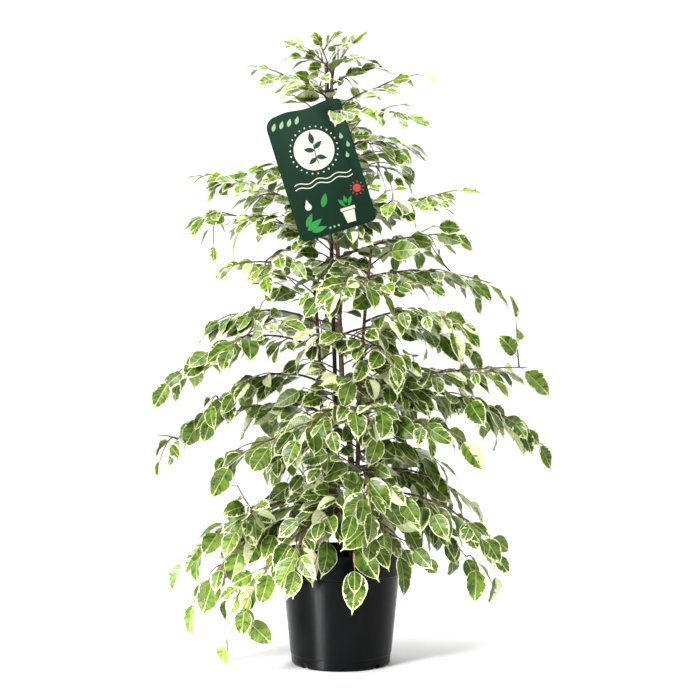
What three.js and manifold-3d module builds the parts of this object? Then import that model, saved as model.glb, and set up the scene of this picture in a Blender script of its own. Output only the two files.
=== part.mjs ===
// A variegated weeping fig, 1.06 m tall, standing in its black nursery pot.
// Units are millimetres. +Z is up, and the plant is seen from its -Y side.
// The origin is the middle of the pot's flat underside.

import * as THREE from 'three';
import { mergeVertices } from 'three/addons/utils/BufferGeometryUtils.js';
import Module from 'manifold-3d';

const wasm = await Module();
wasm.setup();

// Driving sizes

const SEAT_GAP = 0.3; // air between two pieces that rest on each other

const POT = {
  height: 185, rim: 105, bandFoot: 101.5, bandHeight: 39, bandStep: 1, bodyTop: 97.5, base: 81.5,
  wall: 2, floor: 3, cove: 2, footHeight: 17, footStep: 1, chamfer: 3, sides: 28,
  drain: 7, drainSides: 8, drainRing: 55, drainAngles: [0, 90, 180, 270],
};
// The inside steps in from just over the band's foot to just under it
const SHOULDER = { over: 6, under: 2, inset: 0.4 };
// Arched notches through the pot's foot: upright to a share of their height, flat over a share of their width
const NOTCH = {
  width: 11, height: 9, upright: 0.6, crown: 0.25, below: 2, inset: 12, depth: 18,
  angles: [45, 135, 225, 315],
};
const PEAT = {
  top: 163, edge: 158, edgeInset: 2.6, outerRing: 0.66, outerRise: 0.7, innerRing: 0.33,
  roughness: 2.2, seed: 11,
};
const STAKE = { foot: [3, 9], head: [-25, 9], top: 1003, point: 3, radius: 3.6, tip: 0.6, sides: 8 };
const TIE = {
  height: 953, wall: 1.6, width: 5, curve: 3, arm: 24, farArm: 0.7, armRadius: 1.3, armSides: 5, knob: 2.4,
};
// The tag's outline is measured from the middle of its hole. Its slit runs from the hole to the right edge.
const TAG = {
  hole: [-14, -85, 890], lean: 17.2, left: 107.5, right: 20.5, above: 26, below: 182, thick: 1,
  holeRadius: 8, holeSides: 10, holeFrom: -95, holeTo: -445, corner: 19, topCorner: 7, footCorner: 10,
  wave: 1.8, waves: 3, waveSteps: 6,
  slit: [[1.1, -12.6], [7.2, -14], [14.8, -13.3]], slitWidth: 1.2, mouth: -8.6,
};

// The three stems, each as points [x, y, z] from its root in the peat to its top
const STEMS = [
  { name: 'stem_main', foot: 6.2, top: 2.4, sides: 7, points: [
    [40, 2, 70], [37, 1, 200], [19, 0, 291], [16, -1, 344], [9, -2, 408], [3, -2, 450],
    [-2, 0, 560], [-6, 1, 700], [-11, 2, 830], [-16, 4, 952], [-12, 2, 1000]] },
  { name: 'stem_left', foot: 4.8, top: 2.2, sides: 6, points: [
    [-27, 18, 75], [-24, 18, 190], [-29, 21, 320], [-34, 24, 450], [-43, 28, 600], [-55, 30, 720]] },
  { name: 'stem_right', foot: 4.8, top: 2.2, sides: 6, points: [
    [14, -32, 75], [18, -31, 190], [27, -34, 320], [31, -36, 450], [40, -34, 580], [50, -30, 680]] },
];
const [MAIN, LEFT, RIGHT] = [0, 1, 2];

// Branches that give the crown its outline: stem, height on it, tip [x, y, z], rise of the arch
const OUTLINE_BRANCHES = [
  [MAIN, 990, [12, -12, 1022], 14], [MAIN, 981, [-54, -16, 1018], 24],
  [MAIN, 972, [-30, -36, 1012], 22], [MAIN, 964, [42, 24, 998], 22],
  [MAIN, 938, [-94, -24, 972], 38], [MAIN, 926, [-62, -56, 956], 30],
  [MAIN, 914, [62, 18, 962], 36], [MAIN, 880, [104, -34, 905], 40],
  [MAIN, 846, [112, 34, 868], 40], [MAIN, 808, [100, 64, 826], 36],
  [MAIN, 768, [-136, 60, 818], 44], [MAIN, 728, [-220, -54, 802], 56],
  [MAIN, 692, [-224, 50, 744], 52], [MAIN, 712, [186, -72, 772], 44],
  [MAIN, 670, [196, 80, 722], 44], [LEFT, 640, [-174, -74, 650], 34],
  [MAIN, 620, [252, 22, 630], 54], [LEFT, 562, [-206, 64, 568], 44],
  [RIGHT, 560, [190, -108, 556], 34], [MAIN, 540, [216, 92, 524], 44],
  [LEFT, 515, [-286, -36, 462], 70], [LEFT, 462, [-276, 30, 366], 56],
  [RIGHT, 448, [304, -22, 486], 40], [RIGHT, 420, [342, 44, 356], 74],
  [LEFT, 410, [-150, 100, 412], 34], [LEFT, 360, [-178, -94, 330], 38],
  [RIGHT, 390, [192, -116, 372], 34], [RIGHT, 345, [168, 92, 300], 34],
  [RIGHT, 306, [216, 38, 262], 40], [RIGHT, 268, [232, -72, 214], 46],
  [MAIN, 236, [212, 38, 168], 46], [LEFT, 286, [-156, 54, 236], 34],
  [LEFT, 250, [-262, -10, 166], 44], [LEFT, 226, [-240, -58, 104], 50],
  [RIGHT, 228, [-178, -120, 58], 56], [RIGHT, 246, [-40, -128, 178], 32],
  [RIGHT, 216, [22, -128, 172], 32], [RIGHT, 238, [92, -108, 192], 34],
];

// Branches that fill the front and the back, worked out by a rule from the lowest up
const FILLING = {
  count: 13, low: 256, high: 850, azimuths: [84, -76, 128, -112, 48, -58, 104, -92, 70, -124], behindTag: 665,
  reach: [200, 88], rise: 40, tipDrop: [0.3, -0.2], leafStep: 22, firstLeaf: 0.18,
};

const BRANCH = {
  foot: 2.3, tip: 1.3, steps: 5, sides: 3, gap: 1, leafStep: 24, firstLeaf: 0.22,
  youngFrom: 840, youngStep: 0.42,
  shifts: [0, 9, -9, 18, -18],
  swings: [0, 6, -6, 12, -12, 18, -18, 26, -26, 34, -34],
};
const SHOOT = {
  foot: 1.6, tip: 1.3, share: 0.36, longest: 95, ahead: 0.62, spread: 0.8, sag: 0.1, rise: 0.1,
  firstAt: 0.42, nextAt: 0.26, oneFrom: 200, twoFrom: 300, leaves: 3, firstLeaf: 0.5,
};
const TAG_TWIG = {
  height: 858, behind: [-14, -44, 889], past: [4, -112, 893], tip: [24, -130, 888],
  leaves: 4, firstLeaf: 0.62, number: 90,
};
const ARCH_CONTROL = 0.45; // how far out a branch's arch has its highest pull

const LEAF = {
  longest: 65, shortest: 44, petiole: 12, stalk: 1.2, thick: 1.4,
  gap: 0.9, variants: 14, sunk: 0.4, shrink: 0.025, pairedTo: 0.93, lastAt: 0.97, clearFrom: 0.3,
};
const STALK_SECTION = [[1, 0.6], [-1, 0.6], [0, -0.9]];
// How a leaf turns: each pair is a least value and what a seeded draw adds, but droop runs from low to high
const POSE = {
  droop: [0.85, 0.2], drawnDroop: [0.3, 1.1], ahead: [0.65, 0.5], aside: [0.45, 0.5],
  faceUp: 0.6, faceSide: 0.4, faceOut: 0.35, faceLight: 0.55, twist: 1.5,
  size: [0.76, 0.34], bend: [0.15, 0.8],
};
// Stations of the blade as shares of its length: place, half width, lift of the edges
const WIDE = { at: 0.27, half: 0.28, lift: 0.05 };
const UPPER = { at: 0.62, half: 0.235, lift: 0.008 };
const DRIP = { at: 0.86, half: 0.04, lift: 0 };

// Air that twigs and leaves keep to the floor, the pot, the peat and the tag's face
const CLEAR = { floor: 12, pot: 3, band: 4, peat: 4, mouth: 88, tag: 4, tagBack: 3 };
const STEEP = 0.9; // a stalk steeper than this starts its section from X
const CROWN_LOW = 150;
const CROWN_HIGH = 1040;

// Materials

const finish = (color, roughness) => new THREE.MeshStandardMaterial({ color, roughness, metalness: 0 });
const BLACK_PLASTIC = finish(0x1b1c1e, 0.42);
const PEAT_BROWN = finish(0x2b1b12, 0.95);
const STAKE_PLASTIC = finish(0x211c24, 0.35);
const BARK = finish(0x6b4a36, 0.8);
const TAG_CARD = finish(0x2a4b34, 0.6);
const FIG_LEAF = finish(0x6f9a45, 0.42);

// Small helpers

const vec = (p) => new THREE.Vector3(p[0], p[1], p[2]);
const lerp = (a, b, t) => a + (b - a) * t;
const clamp01 = (x) => Math.min(1, Math.max(0, x));
const UP = vec([0, 0, 1]);
const LIGHT = vec([0, -1, 0]); // the side that the plant's light came from

function draws(seed) {
  let state = seed >>> 0;
  return () => {
    state = (state + 0x6d2b79f5) >>> 0;
    let t = Math.imul(state ^ (state >>> 15), state | 1);
    t ^= t + Math.imul(t ^ (t >>> 7), t | 61);
    return ((t ^ (t >>> 14)) >>> 0) / 4294967296;
  };
}

// A closed geometry as a solid that can be joined and cut, and back again
function solidOf(geometry) {
  const bare = geometry.clone();
  for (const name of Object.keys(bare.attributes)) if (name !== 'position') bare.deleteAttribute(name);
  const merged = mergeVertices(bare, 1e-4);
  return new wasm.Manifold(new wasm.Mesh({
    numProp: 3,
    vertProperties: new Float32Array(merged.attributes.position.array),
    triVerts: new Uint32Array(merged.index.array),
  }));
}

function geometryOf(solid) {
  const mesh = solid.getMesh();
  const geometry = new THREE.BufferGeometry();
  geometry.setAttribute('position', new THREE.BufferAttribute(new Float32Array(mesh.vertProperties), 3));
  geometry.setIndex(new THREE.BufferAttribute(new Uint32Array(mesh.triVerts), 1));
  geometry.computeVertexNormals();
  return geometry;
}

const joined = (solids) => solids.reduce((whole, next) => whole.add(next));

function fromTriangles(points, faces) {
  const geometry = new THREE.BufferGeometry().setFromPoints(points);
  geometry.setIndex(faces.flat());
  return geometry;
}

// A tapered round stalk through a list of points. A pointed one ends in its last point.
function stalk(points, radii, sides, pointed) {
  const rings = pointed ? points.length - 1 : points.length;
  const vertices = [];
  const rise = Math.abs(points[1].clone().sub(points[0]).normalize().z);
  let across = rise > STEEP ? vec([1, 0, 0]) : UP.clone();
  for (let i = 0; i < rings; i++) {
    const [before, after] = [points[Math.max(i - 1, 0)], points[Math.min(i + 1, points.length - 1)]];
    const ahead = after.clone().sub(before).normalize();
    across = across.clone().addScaledVector(ahead, -across.dot(ahead)).normalize();
    const beside = ahead.clone().cross(across);
    for (let k = 0; k < sides; k++) {
      const turn = (2 * Math.PI * k) / sides;
      vertices.push(points[i].clone()
        .addScaledVector(across, radii[i] * Math.cos(turn))
        .addScaledVector(beside, radii[i] * Math.sin(turn)));
    }
  }
  const faces = [];
  for (let i = 0; i + 1 < rings; i++) {
    for (let k = 0; k < sides; k++) {
      const [a, b] = [i * sides + k, i * sides + ((k + 1) % sides)];
      faces.push([a, b, b + sides], [a, b + sides, a + sides]);
    }
  }
  const last = (rings - 1) * sides;
  for (let k = 1; k + 1 < sides; k++) faces.push([0, k + 1, k]);
  if (pointed) {
    vertices.push(points[rings].clone());
    for (let k = 0; k < sides; k++) faces.push([last + k, last + ((k + 1) % sides), vertices.length - 1]);
  } else {
    for (let k = 1; k + 1 < sides; k++) faces.push([last, last + k, last + k + 1]);
  }
  return fromTriangles(vertices, faces);
}

// The pot: a moulded cup with a stepped band at the rim, a foot ring, drain holes and notches

function potProfile(swell) {
  const { height, rim, bandFoot, bandHeight, bandStep, bodyTop, base, footHeight, footStep, chamfer } = POT;
  const shoulder = height - bandHeight;
  const footTop = lerp(base, bodyTop, footHeight / shoulder);
  return [
    [base - chamfer, 0], [base, chamfer], [footTop - footStep, footHeight], [footTop, footHeight + footStep],
    [bodyTop, shoulder], [bandFoot, shoulder + bandStep], [rim, height],
  ].map(([r, z]) => new THREE.Vector2(r + swell, z));
}

function lathe(profile) {
  return new THREE.LatheGeometry(profile, POT.sides).rotateX(Math.PI / 2);
}

const innerWall = (z, clear) => {
  const outline = potProfile(-POT.wall - clear).slice(1);
  for (let i = 0; i + 1 < outline.length; i++) {
    const [a, b] = [outline[i], outline[i + 1]];
    if (z >= a.y && z <= b.y) return lerp(a.x, b.x, (z - a.y) / (b.y - a.y));
  }
  return outline[0].x;
};

function pot() {
  const { height, bandHeight, floor, cove, drain, drainSides, drainRing, base } = POT;
  const [over, under] = [height - bandHeight + SHOULDER.over, height - bandHeight - SHOULDER.under];
  const outside = potProfile(0);
  const inside = [
    [innerWall(height, 0), height], [innerWall(over, 0), over],
    [innerWall(under, 0) - SHOULDER.inset, under], [innerWall(floor, 0) - cove, floor], [0, floor],
  ].map(([r, z]) => new THREE.Vector2(r, z));
  let cup = solidOf(lathe([new THREE.Vector2(0, 0), ...outside, ...inside]));
  for (const angle of POT.drainAngles) {
    const hole = new THREE.CylinderGeometry(drain, drain, floor * 4, drainSides).rotateX(Math.PI / 2)
      .translate(drainRing, 0, 0).rotateZ(THREE.MathUtils.degToRad(angle));
    cup = cup.subtract(solidOf(hole));
  }
  const [half, crown, upright] = [NOTCH.width / 2, NOTCH.width * NOTCH.crown, NOTCH.height * NOTCH.upright];
  const outline = new THREE.Shape([
    [-half, -NOTCH.below], [half, -NOTCH.below], [half, upright],
    [crown, NOTCH.height], [-crown, NOTCH.height], [-half, upright],
  ].map(([x, y]) => new THREE.Vector2(x, y)));
  for (const angle of NOTCH.angles) {
    const notch = new THREE.ExtrudeGeometry(outline, { depth: NOTCH.depth, bevelEnabled: false })
      .rotateX(Math.PI / 2).rotateZ(Math.PI / 2).translate(base - NOTCH.inset, 0, 0)
      .rotateZ(THREE.MathUtils.degToRad(angle));
    cup = cup.subtract(solidOf(notch));
  }
  return geometryOf(cup);
}

// The peat: the whole filling of the pot, with a rough top and a plain hole for each stalk in it

function peat(standing) {
  const { top, edge, edgeInset, outerRing, outerRise, innerRing, roughness, seed } = PEAT;
  const gap = 2 * SEAT_GAP;
  const under = POT.height - POT.bandHeight - SHOULDER.under;
  const low = POT.floor + SEAT_GAP;
  const profile = [
    [0, low], [innerWall(low, gap) - POT.cove, low], [innerWall(under, gap) - SHOULDER.inset, under],
    [innerWall(edge, gap) - edgeInset, edge], [POT.bodyTop * outerRing, lerp(edge, top, outerRise)],
    [POT.bodyTop * innerRing, top], [0, top],
  ].map(([r, z]) => new THREE.Vector2(r, z));
  const filling = lathe(profile);
  const random = draws(seed);
  const bumps = Array.from({ length: POT.sides * 2 }, () => (random() - 0.5) * 2 * roughness);
  const place = filling.attributes.position;
  for (let i = 0; i < place.count; i++) {
    const radius = Math.hypot(place.getX(i), place.getY(i));
    if (place.getZ(i) <= edge + 0.01 || radius < 1) continue;
    const turn = Math.round((Math.atan2(place.getY(i), place.getX(i)) / (2 * Math.PI)) * POT.sides);
    const bump = bumps[((turn + POT.sides) % POT.sides) + (radius > POT.bodyTop / 2 ? POT.sides : 0)];
    place.setZ(i, place.getZ(i) + bump);
  }
  let solid = solidOf(filling);
  for (const stalkSolid of standing) solid = solid.subtract(stalkSolid);
  return geometryOf(solid);
}

// The stake, and the tie that holds the main stem to it

const stakeAt = (z) => {
  const share = (z - POT.floor) / (STAKE.top - POT.floor);
  return vec([lerp(STAKE.foot[0], STAKE.head[0], share), lerp(STAKE.foot[1], STAKE.head[1], share), z]);
};

function stakeSolid(grow) {
  const ends = [POT.floor + 2 * SEAT_GAP - grow, STAKE.top - STAKE.point, STAKE.top].map(stakeAt);
  const radii = [STAKE.radius + grow, STAKE.radius + grow, STAKE.radius * STAKE.tip];
  return stalk(ends, radii, STAKE.sides, false);
}

function tie(stems) {
  const { height, wall, width, curve, arm, farArm, armRadius, armSides, knob } = TIE;
  const [stake, stem] = [stakeAt(height), pointAtHeight(stems[MAIN], height)];
  const middle = stake.clone().lerp(stem, 0.5);
  const half = stake.distanceTo(stem) / 2;
  const loop = (radius) => {
    const outline = new THREE.Shape();
    outline.absarc(half, 0, radius, -Math.PI / 2, Math.PI / 2, false);
    outline.absarc(-half, 0, radius, Math.PI / 2, (3 * Math.PI) / 2, false);
    return outline;
  };
  const inner = STAKE.radius + 1.5 * SEAT_GAP;
  const band = loop(inner + wall);
  band.holes.push(new THREE.Path(loop(inner).getPoints(curve)));
  const ring = new THREE.ExtrudeGeometry(band, { depth: width, bevelEnabled: false, curveSegments: curve })
    .translate(0, 0, -width / 2);
  const front = -inner - wall / 2;
  const bar = (length, side) => new THREE.CylinderGeometry(armRadius, armRadius, length, armSides)
    .rotateZ(Math.PI / 2).translate(side * length / 2, front, 0);
  const end = (length, side) => new THREE.SphereGeometry(knob, armSides, curve)
    .translate(side * length, front, 0);
  const pieces = [ring, bar(arm, -1), bar(arm * farArm, 1), end(arm, -1), end(arm * farArm, 1)];
  const turn = Math.atan2(stem.y - stake.y, stem.x - stake.x);
  return geometryOf(joined(pieces.map(solidOf))).rotateZ(turn).translate(middle.x, middle.y, middle.z);
}

// The care tag: a die-cut card with rounded corners, a waved top edge, and a hole with a slit to the edge

function arcPoints(x, y, radius, from, to, steps) {
  return Array.from({ length: steps + 1 }, (_, i) => {
    const turn = THREE.MathUtils.degToRad(lerp(from, to, i / steps));
    return [x + radius * Math.cos(turn), y + radius * Math.sin(turn)];
  });
}

// One edge of the slit, to the left (+1) or right (-1) of its middle line as it leaves the hole
function slitEdge(side) {
  const line = [[0, -TAG.holeRadius], ...TAG.slit, [TAG.right, TAG.mouth]];
  return TAG.slit.map(([x, y], i) => {
    const [dx, dy] = [line[i + 2][0] - line[i][0], line[i + 2][1] - line[i][1]];
    const scale = (side * TAG.slitWidth) / 2 / Math.hypot(dx, dy);
    return [x - dy * scale, y + dx * scale];
  });
}

function tagOutline() {
  const { left, right, above, below, corner, topCorner, footCorner } = TAG;
  const { mouth, slitWidth, wave, waves, waveSteps } = TAG;
  const top = Array.from({ length: waveSteps - 1 }, (_, i) => {
    const share = (i + 1) / waveSteps;
    return [lerp(right - topCorner, corner - left, share), above + wave * Math.sin(share * Math.PI * waves)];
  });
  const points = [
    ...arcPoints(right - footCorner, footCorner - below, footCorner, -90, 0, 3),
    [right, mouth - slitWidth], ...slitEdge(-1).reverse(),
    ...arcPoints(0, 0, TAG.holeRadius, TAG.holeFrom, TAG.holeTo, TAG.holeSides),
    ...slitEdge(1), [right, mouth + slitWidth],
    ...arcPoints(right - topCorner, above - topCorner, topCorner, 0, 90, 2),
    ...top,
    ...arcPoints(corner - left, above - corner, corner, 90, 180, 3),
    ...arcPoints(footCorner - left, footCorner - below, footCorner, 180, 270, 3),
  ];
  return new THREE.Shape(points.map(([x, y]) => new THREE.Vector2(x, y)));
}

function tag() {
  const card = new THREE.ExtrudeGeometry(tagOutline(), { depth: TAG.thick, bevelEnabled: false });
  return card.translate(0, 0, -TAG.thick / 2).rotateX(Math.PI / 2);
}

const TAG_AXIS = vec([0, 1, 0]);
const TAG_TURN = THREE.MathUtils.degToRad(TAG.lean);
const tagToWorld = (x, z) => vec([x, 0, z]).applyAxisAngle(TAG_AXIS, -TAG_TURN).add(vec(TAG.hole));
const worldToTag = (p) => p.clone().sub(vec(TAG.hole)).applyAxisAngle(TAG_AXIS, TAG_TURN);

// Stems and twigs as lists of points

function pointAtHeight(stem, z) {
  const i = stem.points.findIndex((p, k) => k > 0 && p.z >= z) - 1;
  const [a, b] = [stem.points[i], stem.points[i + 1]];
  return a.clone().lerp(b, (z - a.z) / (b.z - a.z));
}

function pointAlong(points, share) {
  const place = Math.min(share * (points.length - 1), points.length - 1 - 1e-9);
  const i = Math.floor(place);
  return points[i].clone().lerp(points[i + 1], place - i);
}

function directionAlong(points, share) {
  const i = Math.min(Math.floor(share * (points.length - 1)), points.length - 2);
  return points[i + 1].clone().sub(points[i]).normalize();
}

const lengthOf = (points) => points.slice(1).reduce((sum, p, i) => sum + p.distanceTo(points[i]), 0);
const taper = (foot, tip, count) => Array.from({ length: count }, (_, i) => lerp(foot, tip, i / (count - 1)));

function arch(from, to, rise, steps) {
  const points = [];
  const control = from.clone().lerp(to, ARCH_CONTROL);
  control.z = from.z + rise;
  for (let i = 0; i <= steps; i++) {
    const t = i / steps;
    points.push(from.clone().multiplyScalar((1 - t) * (1 - t))
      .addScaledVector(control, 2 * t * (1 - t)).addScaledVector(to, t * t));
  }
  return points;
}

// A branch whose tip is swung a few degrees round its stem
function branchLine(from, tip, rise, swing) {
  const reach = tip.clone().sub(from).applyAxisAngle(UP, THREE.MathUtils.degToRad(swing));
  return arch(from, from.clone().add(reach), rise, BRANCH.steps);
}

function sideShoots(points, number) {
  const length = lengthOf(points);
  const count = length > SHOOT.twoFrom ? 2 : length > SHOOT.oneFrom ? 1 : 0;
  const shoots = [];
  for (let i = 0; i < count; i++) {
    const share = SHOOT.firstAt + SHOOT.nextAt * i;
    const foot = pointAlong(points, share);
    const ahead = directionAlong(points, share);
    const side = ahead.clone().cross(UP).normalize().multiplyScalar((number + i) % 2 ? 1 : -1);
    const size = Math.min(length * SHOOT.share, SHOOT.longest);
    const end = foot.clone()
      .addScaledVector(ahead, size * SHOOT.ahead).addScaledVector(side, size * SHOOT.spread);
    end.z -= size * SHOOT.sag;
    const middle = foot.clone().lerp(end, 0.5);
    middle.z += size * SHOOT.rise;
    shoots.push([foot, middle, end]);
  }
  return shoots;
}

// Clearance between pieces: triangles and stalk lines, each with a half thickness

const boxOf = (points, grow) => new THREE.Box3().setFromPoints(points).expandByScalar(grow);

function thing(points, half, owner) {
  return { points, half, owner, box: boxOf(points, half + 1) };
}

function segmentGap(p, q, r, s) {
  const [u, v, w] = [q.clone().sub(p), s.clone().sub(r), p.clone().sub(r)];
  const [a, b, c, d, e] = [u.dot(u), u.dot(v), v.dot(v), u.dot(w), v.dot(w)];
  const bulk = a * c - b * b;
  let along = bulk > 1e-9 ? clamp01((b * e - c * d) / bulk) : 0;
  const other = c > 1e-9 ? clamp01((b * along + e) / c) : 0;
  along = a > 1e-9 ? clamp01((b * other - d) / a) : 0;
  return p.clone().addScaledVector(u, along).distanceTo(r.clone().addScaledVector(v, other));
}

function pierces(p, q, [a, b, c]) {
  const direction = q.clone().sub(p);
  const length = direction.length();
  if (length < 1e-9) return false;
  const ray = new THREE.Ray(p, direction.divideScalar(length));
  const hit = ray.intersectTriangle(a, b, c, false, new THREE.Vector3());
  return hit !== null && hit.distanceTo(p) <= length;
}

const edgesOf = (points) => (points.length === 2
  ? [[points[0], points[1]]]
  : [[points[0], points[1]], [points[1], points[2]], [points[2], points[0]]]);

function apart(one, two) {
  const nearest = new THREE.Vector3();
  let least = Infinity;
  for (const [p, q] of edgesOf(one.points)) {
    for (const [r, s] of edgesOf(two.points)) least = Math.min(least, segmentGap(p, q, r, s));
  }
  for (const [face, other] of [[one, two], [two, one]]) {
    if (face.points.length < 3) continue;
    if (edgesOf(other.points).some(([p, q]) => pierces(p, q, face.points))) return 0;
    const triangle = new THREE.Triangle(...face.points);
    for (const p of other.points) {
      least = Math.min(least, triangle.closestPointToPoint(p, nearest).distanceTo(p));
    }
  }
  return least;
}

function clearOf(pieces, obstacles, gap) {
  return pieces.every((piece) => obstacles.every((other) => !piece.box.intersectsBox(other.box)
    || apart(piece, other) > piece.half + other.half + gap));
}

// True where a point keeps off the pot, the floor and the view of the tag
function inFreeSpace(p, beforeTag) {
  if (p.z < CLEAR.floor) return false;
  const radius = Math.hypot(p.x, p.y);
  const besideBand = p.z > POT.height - POT.bandHeight - CLEAR.band && radius < POT.rim + CLEAR.pot;
  if (p.z < POT.height + CLEAR.pot && (besideBand || radius < POT.bodyTop + CLEAR.pot)) {
    return p.z > PEAT.top + CLEAR.peat && radius < CLEAR.mouth;
  }
  if (beforeTag) return true;
  const { x, y, z } = worldToTag(p);
  const beside = x < -TAG.left - CLEAR.tag || x > TAG.right + CLEAR.tag;
  const beyond = z < -TAG.below - CLEAR.tag || z > TAG.above + CLEAR.tag;
  return beside || beyond || y > CLEAR.tagBack;
}

const stalkThings = (points, radii, owner) => points.slice(1)
  .map((p, i) => thing([points[i], p], Math.max(radii[i], radii[i + 1]), owner));

// Leaves

// How a leaf sits on its twig: the k-th draw of its own seeded numbers
function leafPose(site, random) {
  const { foot, ahead, side, lobe } = site;
  const height = clamp01((foot.z - CROWN_LOW) / (CROWN_HIGH - CROWN_LOW));
  const [a, b, c, d, e] = [random(), random(), random(), random(), random()];
  const drawn = ([least, more], draw) => least + more * draw;
  const outward = vec([foot.x, foot.y, 0]).normalize();
  const droop = lerp(...POSE.droop, height) * drawn(POSE.drawnDroop, a);
  const direction = ahead.clone().multiplyScalar(lobe ? drawn(POSE.ahead, b) : 1)
    .addScaledVector(side, lobe * drawn(POSE.aside, c)).addScaledVector(UP, -droop).normalize();
  const face = UP.clone().multiplyScalar(POSE.faceUp)
    .addScaledVector(side, POSE.faceSide * lobe).addScaledVector(outward, POSE.faceOut)
    .addScaledVector(LIGHT, POSE.faceLight);
  face.addScaledVector(direction, -face.dot(direction)).normalize();
  face.applyAxisAngle(direction, (d - 0.5) * POSE.twist);
  const full = lerp(LEAF.longest, LEAF.shortest, height * height);
  return { foot, direction, face, length: full * drawn(POSE.size, e), bend: drawn(POSE.bend, b) };
}

// The blade's stations along its bent midrib. The leaf stalk before it is straight.
function leafFrame(pose, shrink) {
  const { foot, direction, face, bend } = pose;
  const length = pose.length * shrink;
  const across = face.clone().cross(direction);
  const base = foot.clone().addScaledVector(direction, LEAF.petiole);
  const end = direction.clone().multiplyScalar(Math.cos(bend)).addScaledVector(face, -Math.sin(bend));
  const middle = (t) => base.clone()
    .addScaledVector(direction, length * (t - t * t / 2)).addScaledVector(end, length * t * t / 2);
  const normal = (t) => direction.clone()
    .multiplyScalar(1 - t).addScaledVector(end, t).normalize().cross(across);
  return { length, across, base, middle, normal };
}

function leafPoints(pose, shrink) {
  const { length, across, base, middle, normal } = leafFrame(pose, shrink);
  const blade = ({ at }, x, z) => middle(at).addScaledVector(across, x).addScaledVector(normal(at), z);
  const edges = (station) => [1, -1]
    .map((k) => blade(station, k * station.half * length, station.lift * length));
  const half = LEAF.thick / 2;
  const stalkEnd = STALK_SECTION.map(([x, z]) => base.clone()
    .addScaledVector(across, x * LEAF.stalk).addScaledVector(pose.face, z * LEAF.stalk));
  return {
    root: pose.foot.clone().addScaledVector(pose.direction, -LEAF.sunk), base: stalkEnd,
    wide: edges(WIDE), wideRib: [blade(WIDE, 0, half), blade(WIDE, 0, -half)],
    upper: edges(UPPER), upperRib: blade(UPPER, 0, -LEAF.thick + UPPER.lift * length),
    drip: edges(DRIP), tip: middle(1),
  };
}

function leafGeometry(pose, shrink) {
  const p = leafPoints(pose, shrink);
  const points = [p.root, ...p.base, ...p.wide, ...p.wideRib, ...p.upper, p.upperRib, ...p.drip, p.tip];
  const [root, bl, br, bb, wl, wr, wt, wb, ul, ur, ub, dl, dr, tip] = points.keys();
  return fromTriangles(points, [
    [root, br, bl], [root, bl, bb], [root, bb, br],
    [bl, wt, wl], [bl, br, wt], [br, wr, wt], [bl, wl, bb], [wl, wb, bb], [bb, wr, br], [bb, wb, wr],
    [wl, wt, ul], [wt, ur, ul], [wt, wr, ur], [wl, ul, wb], [ul, ub, wb], [wb, ur, wr], [wb, ub, ur],
    [ul, dr, dl], [ul, ur, dr], [dl, dr, tip], [ul, dl, ub], [ub, dl, tip], [ub, dr, ur], [ub, tip, dr],
  ]);
}

// The blade's middle surface for the clearance test
function leafThings(pose, shrink, owner) {
  const p = leafPoints(pose, shrink);
  const rib = p.wideRib[0].clone().lerp(p.wideRib[1], 0.5);
  const base = p.base[0].clone().lerp(p.base[1], 0.5);
  const [wl, wr, ul, ur, dl, dr] = [...p.wide, ...p.upper, ...p.drip];
  const faces = [
    [base, wl, rib], [base, rib, wr], [wl, ul, rib], [rib, ul, ur], [rib, ur, wr],
    [ul, dl, dr], [ul, dr, ur], [dl, p.tip, dr],
  ];
  return faces.map((face) => thing(face, LEAF.thick / 2, owner));
}

function leafSites(twig, count, first, number) {
  const sites = [];
  for (let i = 0; i < count; i++) {
    const last = i === count - 1;
    const share = last ? LEAF.lastAt : lerp(first, LEAF.pairedTo, i / Math.max(count - 1, 1));
    const ahead = directionAlong(twig, share);
    const side = ahead.clone().cross(UP).normalize();
    sites.push({ foot: pointAlong(twig, share), ahead, side, lobe: last ? 0 : (i + number) % 2 ? 1 : -1 });
  }
  return sites;
}

// Places a leaf in the first of its seeded poses that stays clear of everything placed before it
function placeLeaf(site, seed, obstacles, owner, beforeTag) {
  const random = draws(seed);
  for (let k = 0; k < LEAF.variants; k++) {
    const pose = leafPose(site, random);
    const shrink = 1 - LEAF.shrink * k;
    const pieces = leafThings(pose, shrink, owner);
    const free = pieces.every((piece) => piece.points.every((p) => inFreeSpace(p, beforeTag)));
    if (!free || !clearOf(pieces, obstacles, LEAF.gap)) continue;
    const { base } = leafFrame(pose, shrink);
    const petiole = thing([site.foot.clone().lerp(base, LEAF.clearFrom), base], LEAF.stalk, owner);
    if (!clearOf([petiole], obstacles.filter((o) => o.owner !== owner), LEAF.gap)) continue;
    return { geometry: leafGeometry(pose, shrink), things: [...pieces, petiole] };
  }
  return null;
}

// The crown: wood first, so that every leaf is placed clear of all the wood

function branchRows() {
  const { leafStep: step, firstLeaf: first } = BRANCH;
  const rows = OUTLINE_BRANCHES.map(([stem, height, tip, rise]) => (
    { stem, height, tip: vec(tip), rise, leafStep: step, firstLeaf: first }));
  const { count, low, high, azimuths, behindTag, reach, rise, tipDrop, leafStep, firstLeaf } = FILLING;
  for (let i = 0; i < count; i++) {
    const share = i / (count - 1);
    const height = lerp(low, high, share);
    const azimuth = azimuths[i % azimuths.length];
    const stem = height > behindTag ? MAIN : azimuth < 0 ? RIGHT : LEFT;
    const turn = THREE.MathUtils.degToRad(height > behindTag ? Math.abs(azimuth) : azimuth);
    const length = lerp(reach[0], reach[1], share);
    const drop = lerp(tipDrop[0], tipDrop[1], share) * length;
    const tip = vec([length * Math.cos(turn), length * Math.sin(turn), height - drop]);
    rows.push({ stem, height, tip, rise, leafStep, firstLeaf });
  }
  return rows;
}

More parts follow.
